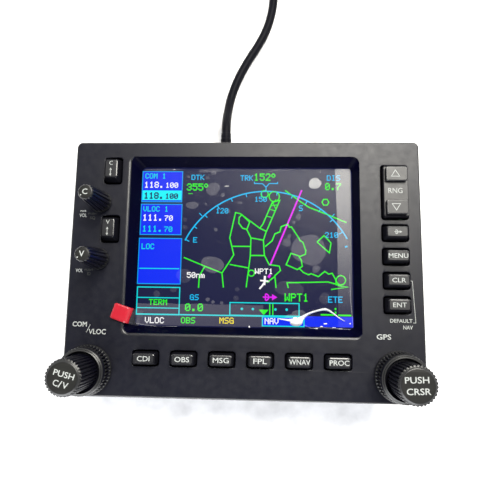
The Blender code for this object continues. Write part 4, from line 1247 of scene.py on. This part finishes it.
# Words of each colour, each with its lower left, height and advance in mm
GREEN_WORDS = (
    ("355*", -27.7, 36.6, 3.4, 2.75), ("152*", 4.2, 41.5, 3.5, 2.75), ("0.7", 37.7, 37.1, 3.3, 2.6),
    ("0.0", -26.7, -20.1, 3.4, 2.9), ("WPT1", 18.9, -15.0, 3.6, 2.8), ("TERM", -43.6, -17.6, 2.6, 2.2),
    ("OBS", -28.4, -25.7, 2.7, 2.3),
)
SKY_WORDS = (
    ("DTK", -25.6, 41.8, 2.5, 2.15), ("TRK", -2.2, 41.5, 2.6, 2.1), ("DIS", 38.5, 41.6, 2.6, 2.2),
    ("120", -13.5, 25.6, 2.5, 2.05), ("150", 4.7, 31.3, 2.4, 2.0), ("S", 25.4, 27.0, 2.7, 2.2),
    ("E", -23.9, 11.6, 2.5, 2.2), ("210", 37.4, 14.5, 2.5, 2.15), ("GS", -24.6, -15.1, 2.6, 2.2),
    ("ETE", 38.6, -15.3, 2.8, 2.3),
)
CYAN_WORDS = (
    ("COM 1", -47.9, 42.4, 2.5, 2.05), ("VLOC 1", -48.2, 26.3, 2.5, 2.05), ("111.", -48.3, 16.6, 2.9, 2.5),
    ("70", -37.8, 16.6, 2.5, 2.1), ("LOC", -48.2, 8.3, 2.6, 2.1),
)
WHITE_WORDS = (
    ("118.", -48.2, 37.9, 2.9, 2.45), ("100", -37.9, 37.9, 2.5, 2.1), ("111.", -48.3, 21.9, 3.0, 2.5),
    ("70", -37.8, 21.9, 2.5, 2.1), ("50nm", -26.3, -4.9, 2.6, 2.15), ("WPT1", 5.2, -2.7, 2.5, 2.15),
    ("VLOC", -45.1, -25.9, 2.7, 2.3), ("NAV", 9.9, -25.4, 2.7, 2.2),
)
# Left, bottom, right and top of plain bars and fields, in mm
GREEN_BARS = (
    (35.2, -21.2, 41.4, -20.5), (43.0, -21.3, 48.9, -20.6), (41.5, -18.6, 42.3, -17.7),
    (41.5, -20.2, 42.3, -19.3), (-26.9, 34.9, -24.9, 35.2),
)
CYAN_BOXES = ((-49.2, -22.0, -29.4, -9.5), (-6.0, -21.7, 25.5, -16.0), (8.9, -26.3, 27.7, -22.2))
BLUE_FIELDS = (
    (-49.2, 30.9, -29.8, 45.9), (-49.4, 15.2, -29.6, 29.8), (-49.5, -7.9, -29.2, 13.4),
    (8.9, -26.3, 49.7, -21.6),
)
FIELD_EDGES = ((-49.2, 15.2, -29.7, 29.8), (-49.4, -7.9, -29.3, 13.4), (-49.1, 31.0, -29.9, 45.8))
# Place of the middle and radius of the compass arc in mm, and the heading at its top
ARC_PLACE = (10.3, -6.0)
ARC_RADIUS = 42.3
ARC_TOP = 153.3


def spell_all(bm, words, z):
    for text, x, y, height, advance in words:
        spell(bm, text, x, y, height, advance, z)


def draw_tick(bm, degrees, near, far, z):
    """A short line along the compass arc's radius."""
    a = math.radians(degrees)
    ends = [(ARC_PLACE[0] + r * math.cos(a), ARC_PLACE[1] + r * math.sin(a)) for r in (near, far)]
    draw(bm, ends, 0.45, z)


def green_lines(z):
    """The map, the green words and the deviation pointer."""
    bm = bmesh.new()
    for line in MAP_LINES:
        draw(bm, line, 0.55, z)
    for x, y, radius, steps in MAP_RINGS:
        draw_ring(bm, x, y, radius, 0.5, z, steps)
    for rung in MAP_RUNGS:
        draw(bm, rung, 0.4, z)
    spell_all(bm, GREEN_WORDS, z)
    for bar in GREEN_BARS:
        fill_box(bm, *bar, z)
    add_triangle(bm, (9.5 * MM, -19.0 * MM), 2.4 * MM, 4.4 * MM, -math.pi / 2, z)
    draw(bm, [(12.2, -16.1), (12.2, -21.5)], 0.5, z)
    draw(bm, [(13.6, -16.1), (13.6, -21.5)], 0.5, z)
    return bm


def sky_lines(z):
    """The compass arc with its ticks, the mark at its top, and the words of that colour."""
    bm = bmesh.new()
    draw_ring(bm, *ARC_PLACE, ARC_RADIUS, 0.62, z, 60, 28.0, 154.0)
    for heading in range(90, 220, 10):
        length = 2.0 if heading % 30 == 0 else 1.7
        draw_tick(bm, 90 + ARC_TOP - heading, ARC_RADIUS - length, ARC_RADIUS, z)
    for side in (45, 135):
        draw_tick(bm, side, ARC_RADIUS + 0.6, ARC_RADIUS + 2.4, z)
    mark = [(4.5, 40.9), (4.5, 40.1), (8.3, 40.0), (10.0, 38.3), (11.5, 40.1), (15.4, 40.1), (15.4, 40.9)]
    draw(bm, mark, 0.45, z)
    draw(bm, [(10.0, 38.4), (10.0, 36.4)], 0.45, z)
    draw(bm, [(46.5, 10.2), (47.7, 10.5)], 0.8, z)
    spell_all(bm, SKY_WORDS, z)
    return bm


def cyan_lines(z):
    """The words and numbers at the left, the frames and the deviation dots."""
    bm = bmesh.new()
    spell_all(bm, CYAN_WORDS, z)
    for box in CYAN_BOXES:
        draw_box(bm, *box, 0.5, z)
    for y, x0, x1 in ((-14.3, -49.2, -29.4), (-19.0, -49.2, -29.4), (-0.8, -48.8, -30.0)):
        draw(bm, [(x0, y), (x1, y)], 0.45, z)
    fill_box(bm, -49.4, -22.2, 27.7, -21.6, z - 0.00001)
    dot = round_outline(0.6 * MM, 12)
    for x in (-0.5, 4.5, 14.8, 19.9):
        bm.faces.new([bm.verts.new((x * MM + a, -18.8 * MM + b, z)) for a, b in dot])
    return bm


def white_lines(z):
    """The white words and numbers, and the small aircraft."""
    bm = bmesh.new()
    spell_all(bm, WHITE_WORDS, z)
    draw(bm, [(9.9, -3.6), (9.6, -7.8)], 1.0, z)
    draw(bm, [(7.7, -5.7), (11.9, -6.1)], 0.7, z)
    draw(bm, [(9.4, -7.0), (8.6, -8.2), (7.4, -9.6)], 0.8, z)
    return bm


def magenta_lines(z):
    """The course line and the sign before the waypoint's name."""
    bm = bmesh.new()
    draw(bm, [(26.8, 36.9), (12.2, 1.3)], 0.75, z)
    draw(bm, [(11.4, -3.4), (12.4, -4.0)], 1.6, z)
    draw(bm, [(9.0, -13.3), (13.6, -13.3)], 0.6, z)
    draw(bm, [(10.2, -11.9), (10.2, -14.7)], 0.6, z)
    draw_ring(bm, 10.2, -13.3, 1.5, 0.6, z, 8, -90.0, 90.0)
    add_triangle(bm, (13.2 * MM, -13.3 * MM), 2.4 * MM, 2.8 * MM, 0.0, z)
    return bm


def add_screen():
    """The lit picture: one mesh for each colour, the fields a little below the lines."""
    z = GLASS + 0.00006
    back = GLASS + 0.00003
    dress("lcd_panel", display_glass())
    yellow, navy, pale, blue, edge = [bmesh.new() for _ in range(5)]
    spell(yellow, "MSG", -10.7, -25.5, 2.7, 2.3, z)
    spell(navy, "118.", -48.2, 32.6, 3.0, 2.45, z, 1.5)
    spell(navy, "100", -37.9, 32.6, 2.5, 2.1, z, 1.5)
    fill_box(pale, -49.0, 31.8, -29.9, 36.5, back + 0.00001)
    for box in BLUE_FIELDS:
        fill_box(blue, *box, back)
    for box in FIELD_EDGES:
        draw_box(edge, *box, 0.4, z - 0.00001)
    for name, bm, colour, strength in (
        ("screen_green", green_lines(z), (0.03, 1.0, 0.02), 1.0),
        ("screen_cyan", cyan_lines(z), (0.0, 0.78, 0.82), 1.0),
        ("screen_sky", sky_lines(z), (0.0, 0.55, 1.0), 1.0),
        ("screen_white", white_lines(z), (1.0, 1.0, 1.0), 1.1),
        ("screen_yellow", yellow, (1.0, 0.80, 0.01), 1.05),
        ("screen_magenta", magenta_lines(z), (0.85, 0.01, 1.0), 1.0),
        ("screen_navy", navy, (0.0, 0.008, 0.16), 0.8),
        ("screen_pale_band", pale, (0.0, 0.95, 1.0), 1.05),
        ("screen_blue_fields", blue, (0.0, 0.025, 1.0), 1.0),
        ("screen_field_edges", edge, (0.0, 0.40, 0.95), 1.0),
    ):
        printed(name, glow(name + "_light", colour, strength), bm=bm)


# ---------------------------------------------------------------- film on the glass

# Place of the middle, half width and half height in mm, and brightness from 1 to 3, of the air under the
# film; their whitish haze is painted reflection
BUBBLES = (
    (-15.1, 37.2, 3.3, 3.1, 2), (32.9, 40.1, 2.8, 2.8, 3), (30.0, 8.6, 7.6, 7.4, 2),
    (-14.5, 1.3, 5.3, 3.8, 2), (19.9, 11.9, 2.0, 1.9, 2), (25.2, 24.0, 1.3, 1.3, 2),
    (23.0, 21.3, 0.8, 0.8, 2), (20.9, 14.9, 1.1, 1.0, 2), (-24.8, 29.3, 2.9, 1.8, 2),
    (-18.4, 30.0, 0.5, 0.5, 2), (-13.3, 17.7, 0.9, 0.9, 2), (-27.9, 22.3, 1.0, 1.0, 1),
    (-10.3, 34.3, 0.9, 1.0, 2), (-8.6, 38.6, 1.0, 0.4, 3), (-27.0, 43.2, 0.7, 0.7, 2),
    (-17.8, 42.6, 0.8, 0.8, 2), (-27.6, -4.0, 3.6, 3.2, 1), (-40.0, -12.6, 1.6, 1.5, 1),
    (-32.2, -10.6, 1.6, 1.1, 1), (-16.3, -14.8, 1.0, 0.9, 2), (-13.8, -15.9, 0.8, 0.8, 2),
    (-9.8, -16.3, 0.8, 0.8, 2), (-3.3, -14.0, 1.3, 1.2, 1), (20.9, -9.2, 7.0, 3.2, 1),
    (36.9, -13.6, 2.4, 2.6, 1), (33.2, -0.2, 1.8, 1.7, 2), (-2.8, -10.0, 1.0, 1.0, 1),
    (-12.0, 12.0, 0.5, 0.5, 1), (-27.8, 18.6, 1.3, 1.1, 1), (13.0, 24.0, 0.6, 0.6, 1),
    (2.0, 38.0, 0.5, 0.5, 1), (-7.5, 26.5, 1.2, 0.8, 1), (35.4, 45.8, 0.2, 0.7, 3),
    (-34.0, 46.7, 0.6, 0.2, 3), (-20.0, 46.0, 2.2, 0.8, 2), (-5.0, 46.6, 3.0, 0.6, 1),
    (-14.6, 46.3, 4.6, 0.9, 2), (-15.0, 45.2, 1.3, 1.3, 2), (-39.0, 46.6, 9.0, 0.5, 2),
    (19.0, 46.4, 9.0, 0.8, 1), (25.5, -20.4, 3.2, 1.5, 2), (23.2, -22.7, 4.2, 1.9, 2),
    (29.0, -21.4, 3.0, 1.0, 1), (5.5, -1.0, 0.9, 0.9, 1), (-22.5, 34.0, 0.5, 0.5, 1),
    (-2.4, 30.6, 1.0, 0.8, 2), (15.0, 9.8, 1.1, 1.0, 1),
)


def add_film(clear, bubble_glare):
    """The thin protective film, slightly wavy, with the air caught under it, whose whitish haze is painted
    reflection.
    """
    low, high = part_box("protective_film")
    bm = bmesh.new()
    across, along = 56, 42
    grid = []
    for j in range(along + 1):
        row = []
        for i in range(across + 1):
            x = low.x + (high.x - low.x) * i / across
            y = low.y + (high.y - low.y) * j / along
            rise = 0.00005 * (math.sin(x * 310 + y * 170) + math.sin(y * 260 - x * 90))
            row.append(bm.verts.new((x, y, FILM - 0.0001 + rise * 0.6)))
        grid.append(row)
    sheet_of(bm, grid)
    mesh = finish_mesh("glass_film", bm, 60)
    film = piece("glass_film", mesh, clear, replaces=["protective_film"], weighted=False)
    film.modifiers.new("thickness", "SOLIDIFY").thickness = 0.00006
    for kind in (1, 2, 3):
        bm = bmesh.new()
        for n, (x, y, half_width, half_height, strength) in enumerate(BUBBLES):
            if strength == kind:
                add_bubble(bm, x * MM, y * MM, half_width * MM, half_height * MM, n)
        name = f"film_bubbles_{kind}"
        piece(name, finish_mesh(name, bm, 60), bubble_glare[kind - 1], weighted=False)


def add_bubble(bm, x, y, half_width, half_height, seed):
    """A low dome with a slightly uneven outline."""
    steps = 26
    base = FILM + 0.00005
    tall = min(half_width, 0.002) * 0.06
    rings = []
    for share, rise in ((1.0, 0.0), (0.96, 0.35), (0.85, 0.65), (0.6, 0.9), (0.3, 1.0)):
        ring = []
        for i in range(steps):
            a = TAU * i / steps
            uneven = 0.06 * math.sin(2 * a + seed) + 0.04 * math.sin(3 * a + seed * 2.3)
            reach = share * (1.0 + uneven + 0.02 * math.sin(5 * a + seed))
            spot = (x + half_width * reach * math.cos(a), y + half_height * reach * math.sin(a))
            ring.append(bm.verts.new((*spot, base + rise * tall)))
        rings.append(ring)
    chain(bm, rings)
    cap(bm, [rings[-1]])


# Points along the curled flap's middle: place, width and height above the film, in mm
FLAP = (
    (16.1, -22.9, 0.2, 0.0), (19.2, -23.3, 0.7, 0.2), (21.6, -23.6, 1.4, 0.5), (22.6, -24.0, 3.6, 0.8),
    (25.0, -24.0, 4.0, 1.0), (26.6, -22.6, 2.0, 1.2), (29.4, -20.6, 1.1, 1.5), (33.0, -19.2, 0.9, 1.8),
    (36.6, -18.4, 1.1, 1.9), (38.7, -18.9, 0.9, 1.7), (41.1, -20.5, 0.7, 1.3), (43.9, -22.5, 0.5, 0.8),
    (46.4, -23.8, 0.2, 0.3),
)
CREASES = (
    ((-49.8, -26.0), (-44.0, -26.9), (-38.0, -27.4), (-30.0, -27.2)),
    ((27.8, -25.6), (31.0, -27.0), (36.0, -26.4), (41.0, -26.8), (45.0, -27.0), (49.6, -27.3)),
    ((49.5, -27.2), (49.3, -22.6), (48.6, -14.0), (48.4, -2.0)),
)
# Place of the middle, width and height of small bright spots, in mm
GLINTS = (
    (37.2, -24.8, 1.4, 0.5), (35.4, -26.1, 1.2, 0.35), (33.0, -27.0, 1.5, 0.3), (48.2, -24.6, 0.6, 0.6),
    (41.0, -26.4, 1.6, 0.2), (44.0, -27.0, 1.8, 0.2), (3.0, -26.8, 0.5, 0.9),
)
EDGE_STEPS = 24


def add_flap(bm):
    """A ribbon through the flap's points, raised along its middle."""
    fine = smooth_path(FLAP, 5)
    rows = []
    for i, p in enumerate(fine):
        q = fine[min(i + 1, len(fine) - 1)] - fine[max(i - 1, 0)]
        along = Vector((q.x, q.y)).normalized()
        side = Vector((-along.y, along.x)) * max(p.z, 0.1) / 2
        row = []
        for s in (-1, 0, 1):
            above = 0.25 + p.w * (1 - 0.4 * abs(s))
            row.append(bm.verts.new(((p.x + side.x * s) * MM, (p.y + side.y * s) * MM, FILM + above * MM)))
        rows.append(row)
    sheet_of(bm, rows)


def add_right_edge(bm):
    """The lifted strip down the film's right side."""
    rows = []
    for i in range(EDGE_STEPS + 1):
        y = 47.0 - i * 73.0 / EDGE_STEPS
        left = 42.3 + 0.7 * min(1.0, i / 8)
        row = []
        for s in (0.0, 0.08, 0.3, 0.6, 0.85, 1.0):
            above = 0.08 + 0.35 * math.sin(s * 2.4)
            row.append(bm.verts.new(((left + (49.4 - left) * s) * MM, y * MM, FILM + above * MM)))
        rows.append(row)
    sheet_of(bm, rows)


def add_lower_edge(bm):
    """The lifted strip along the film's lower side."""
    rows = []
    for i in range(EDGE_STEPS + 1):
        x = -48.8 + i * 58.0 / EDGE_STEPS
        top = -16.9 - 0.2 * math.sin(i * 0.9)
        row = []
        for s in (0.0, 0.1, 0.4, 0.8, 1.0):
            above = 0.08 + 0.2 * math.sin(s * 2.6)
            row.append(bm.verts.new((x * MM, (top + (-26.8 - top) * s) * MM, FILM + above * MM)))
        rows.append(row)
    sheet_of(bm, rows)


def add_film_edges(white_glare, grey_glare, soft_glare, crease_glare):
    """The film's creases, its curled lower right, and its lifted right and lower edges."""
    folds = bmesh.new()
    for line in CREASES:
        draw(folds, line, 0.22, FILM + 0.0002)
    printed("film_creases", crease_glare, bm=folds)
    bm = bmesh.new()
    add_flap(bm)
    for x, y, w, h in GLINTS:
        fill_box(bm, x - w / 2, y - h / 2, x + w / 2, y + h / 2, FILM + 0.0002)
    curl = piece("film_curl", finish_mesh("film_curl", bm, 60), white_glare, weighted=False)
    curl.modifiers.new("thickness", "SOLIDIFY").thickness = 0.00005
    for name, build, glare in (
        ("film_right_edge", add_right_edge, grey_glare),
        ("film_lower_edge", add_lower_edge, soft_glare),
    ):
        bm = bmesh.new()
        build(bm)
        piece(name, finish_mesh(name, bm, 60), glare, weighted=False)


def fading(name, colour, axis, start, end, alpha_start, alpha_end):
    """Film whose haze fades along an axis, X or Y, between two places in metres; the whitish haze is painted
    glare.
    """
    m = Nodes(name)
    m.set(Roughness=0.4, Specular_IOR_Level=0.5)
    split = m.add("ShaderNodeSeparateXYZ")
    m.link(m.place, split.inputs["Vector"])
    fade = m.add("ShaderNodeMapRange")
    fade.inputs["From Min"].default_value = start
    fade.inputs["From Max"].default_value = end
    fade.inputs["To Min"].default_value = alpha_start
    fade.inputs["To Max"].default_value = alpha_end
    m.link(split.outputs[axis], fade.inputs["Value"])
    m.link(fade.outputs["Result"], m.shader.inputs["Alpha"])
    m.link(m.ramp(m.noise(700.0), tuple(c * 0.88 for c in colour), colour), m.shader.inputs["Base Color"])
    return m.material


# Place along the tab and height above the face, from the end stuck to the film to the red end over the rim
TAB_PATH = ((0.0078, -0.0057), (0.0056, -0.0026), (0.0031, 0.0009), (0.0008, 0.0013), (-0.0040, 0.0013))
TAB_PLACE = (-0.0540, -0.0215)
TAB_ANGLE = -0.315
TAB_HALF_WIDTH = 0.00355


def add_tab(red, clear):
    """The bent red pull tab and the clear corner of film that it is stuck to."""
    fine = smooth_path(TAB_PATH, 6)
    fine.append(Vector(TAB_PATH[-1]))
    turn = Matrix.Rotation(TAB_ANGLE, 3, "Z")
    for name, material, part, slot, hides in (
        ("pull_tab", red, fine[9:], "red_tab", ["film_pull_tab"]),
        ("pull_tab_film", clear, fine[:10], "film", []),
    ):
        rows = []
        bm = bmesh.new()
        for i, p in enumerate(part):
            narrow = name == "pull_tab" and i == len(part) - 1
            half = 0.0031 if narrow else TAB_HALF_WIDTH
            row = []
            for k in range(9):
                s = -1 + k / 4
                spot = turn @ Vector((p.x, half * s, 0.0))
                wave = 0.00006 * math.sin(s * 2.0 + p.x * 400)
                row.append(bm.verts.new((spot.x + TAB_PLACE[0], spot.y + TAB_PLACE[1], FACE + p.y + wave)))
            rows.append(row)
        sheet_of(bm, rows)
        tab = piece(name, finish_mesh(name, bm, 60), material, replaces=hides, weighted=False)
        solid = tab.modifiers.new("thickness", "SOLIDIFY")
        solid.thickness = 0.00018
        solid.offset = 0.0


# ---------------------------------------------------------------- everything else

rubber = plastic("cable_rubber", (0.0015, 0.0015, 0.0040), 0.50, grain=0.25, bump=0.006, gloss=0.08)
strap = plastic("strap_fabric", (0.020, 0.020, 0.022), 0.85, grain=0.4, bump=0.08, gloss=0.15)
steel = metal("plated_steel", (0.60, 0.61, 0.63), 0.32)
skin = plastic("bezel_plastic", (0.0018, 0.0020, 0.0060), 0.43,
               grain=0.28, bump=0.012, gloss=0.385, vary=0.12)
# A lighter, glossier copy of the bezel plastic: painted highlight on the bezel's front edge and the lip's
# lower and left sides.
lip_highlight_skin = plastic("lip_highlight_plastic", (0.007, 0.007, 0.009), 0.34, grain=0.28, bump=0.0, gloss=0.48, vary=0.12)
# A darker, duller copy of the bezel plastic: painted shade in the screen's well and on the lip's top and
# right.
dark = plastic("well_painted_shade_plastic", (0.0006, 0.0006, 0.0065), 0.42, grain=0.28, bump=0.002, gloss=0.03)
key_skin = plastic("key_plastic", (0.007, 0.007, 0.008), 0.42, grain=0.2, bump=0.006, gloss=0.54)
# A darker, duller copy of the key plastic: painted shade on the keys' and rocker's sides and the keys' lower
# edges.
painted_key_shade = plastic("key_painted_shade_plastic", (0.003, 0.003, 0.005), 0.55, grain=0.2, bump=0.006, gloss=0.08)
# A glossier copy of the key plastic: a painted highlight on the keys' edges towards the lamp and round the
# rocker's pads.
key_highlight_rim = plastic("key_highlight_rim_plastic", (0.006, 0.006, 0.007), 0.24, grain=0.2, bump=0.0, gloss=0.75)
knob_skin = plastic("knob_plastic", (0.0025, 0.0025, 0.0060), 0.34, grain=0.2, bump=0.004, gloss=0.24)
knob_face = plastic("knob_face_plastic", (0.0105, 0.0105, 0.0092), 0.50, grain=0.2, bump=0.010, gloss=0.22)
# A lighter, glossier copy of the knob plastic: painted highlights on the knobs' bevels.
knob_bevel_highlight = plastic("knob_bevel_highlight_plastic", (0.007, 0.007, 0.007), 0.32, grain=0.2, bump=0.0, gloss=0.45)
paint = plastic("legend_paint", (0.34, 0.355, 0.34), 0.6, grain=0.15, bump=0.01, gloss=0.1, vary=0.06)
dim_paint = plastic("small_legend_paint", (0.085, 0.088, 0.080), 0.6,
                    grain=0.15, bump=0.01, gloss=0.1, vary=0.06)

add_camera()
cable = add_cable(rubber)
boot = add_gland(rubber)
plug_parts = add_plug(rubber, steel)
tie = add_tie(strap)
add_studio()

add_bezel(skin, dark, lip_highlight_skin)
add_keys([painted_key_shade, key_skin, key_highlight_rim], paint)
add_rocker([painted_key_shade, key_skin, key_highlight_rim], paint)
knob_skins = [knob_skin, knob_bevel_highlight, knob_face]
add_dual_knob("com", KNOBS[0][1], 0.0280, 0.0074, math.radians(-14), knob_skins, paint)
add_dual_knob("gps", KNOBS[1][1], 0.0260, 0.0077, math.radians(2), knob_skins, paint)
for (knob_name, knob_place), knob_letter in zip(VOLUMES, "CV"):
    add_volume_knob(knob_name, knob_place, knob_letter, knob_skins, paint)
add_face_legends(paint, dim_paint)
add_screen()
add_film(
    # The film's faint whitish haze, stronger at the top, is painted glare.
    fading("clear_film", (0.80, 0.81, 0.84), "Y", 0.047, 0.018, 0.008, 0.0015),
    [
        # The air patches' whitish haze is painted reflection.
        haze("film_air_glare_faint", (0.82, 0.80, 0.82), 0.014, 0.026),
        haze("film_air_glare", (0.85, 0.83, 0.84), 0.035, 0.060),
        haze("film_air_glare_bright", (0.9, 0.9, 0.86), 0.20, 0.28),
    ],
)
add_film_edges(
    haze("film_curl_glare", (0.95, 0.95, 0.95), 0.75, 1.0),
    fading("film_edge_glare", (0.88, 0.87, 0.82), "Y", 0.047, -0.018, 0.215, 0.022),
    fading("film_lower_glare", (0.84, 0.80, 0.84), "X", -0.050, 0.010, 0.052, 0.038),
    haze("film_crease_glare", (0.9, 0.9, 0.9), 0.08, 0.30, 1500.0),
)
add_tab(plastic("red_tab_vinyl", (0.36, 0.008, 0.018), 0.35, grain=0.5, bump=0.01, gloss=0.5, vary=0.05),
        haze("tab_film", (0.8, 0.82, 0.84), 0.005, 0.03))

housing_skin = plastic("housing_plastic", (0.0055, 0.0055, 0.0072), 0.55, grain=0.4, bump=0.02, gloss=0.25)
light_plastic = plastic("natural_plastic", (0.70, 0.69, 0.65), 0.45,
                        grain=0.3, bump=0.008, gloss=0.4, vary=0.05)
chip_skin = plastic("chip_resin", (0.016, 0.016, 0.017), 0.55, grain=0.12, bump=0.01, gloss=0.4)
ribbon_skin = plastic("ribbon_film", (0.42, 0.17, 0.025), 0.30, grain=0.6, bump=0.004, gloss=0.6)
encoder_metal = metal("encoder_metal", (0.45, 0.46, 0.48), 0.38)
green_board = circuit_board()
for slot_nodes, material in (
    (("rear_housing", "back_cover"), housing_skin),
    (("lcd_frame", "rocker_pin", "com_encoder_nut", "gps_encoder_nut",
      "cover_screw_1", "cover_screw_2", "cover_screw_3", "cover_screw_4",
      "com_outer_shaft", "gps_outer_shaft", "com_inner_shaft", "gps_inner_shaft",
      "com_volume_shaft", "nav_volume_shaft"), steel),
    (("com_dual_encoder", "gps_dual_encoder", "com_volume_encoder", "nav_volume_encoder"), encoder_metal),
    (("key_board", "main_board", "display_board"), green_board),
    (("backlight_unit", "usb_header", "com_push_plunger", "gps_push_plunger", "com_volume_push_plunger",
      "nav_volume_push_plunger"), light_plastic),
    (("processor_chip",), chip_skin),
    (("lcd_ribbon",), ribbon_skin),
    (("internal_lead",), rubber),
):
    for cad_node in slot_nodes:
        dress(cad_node, material)
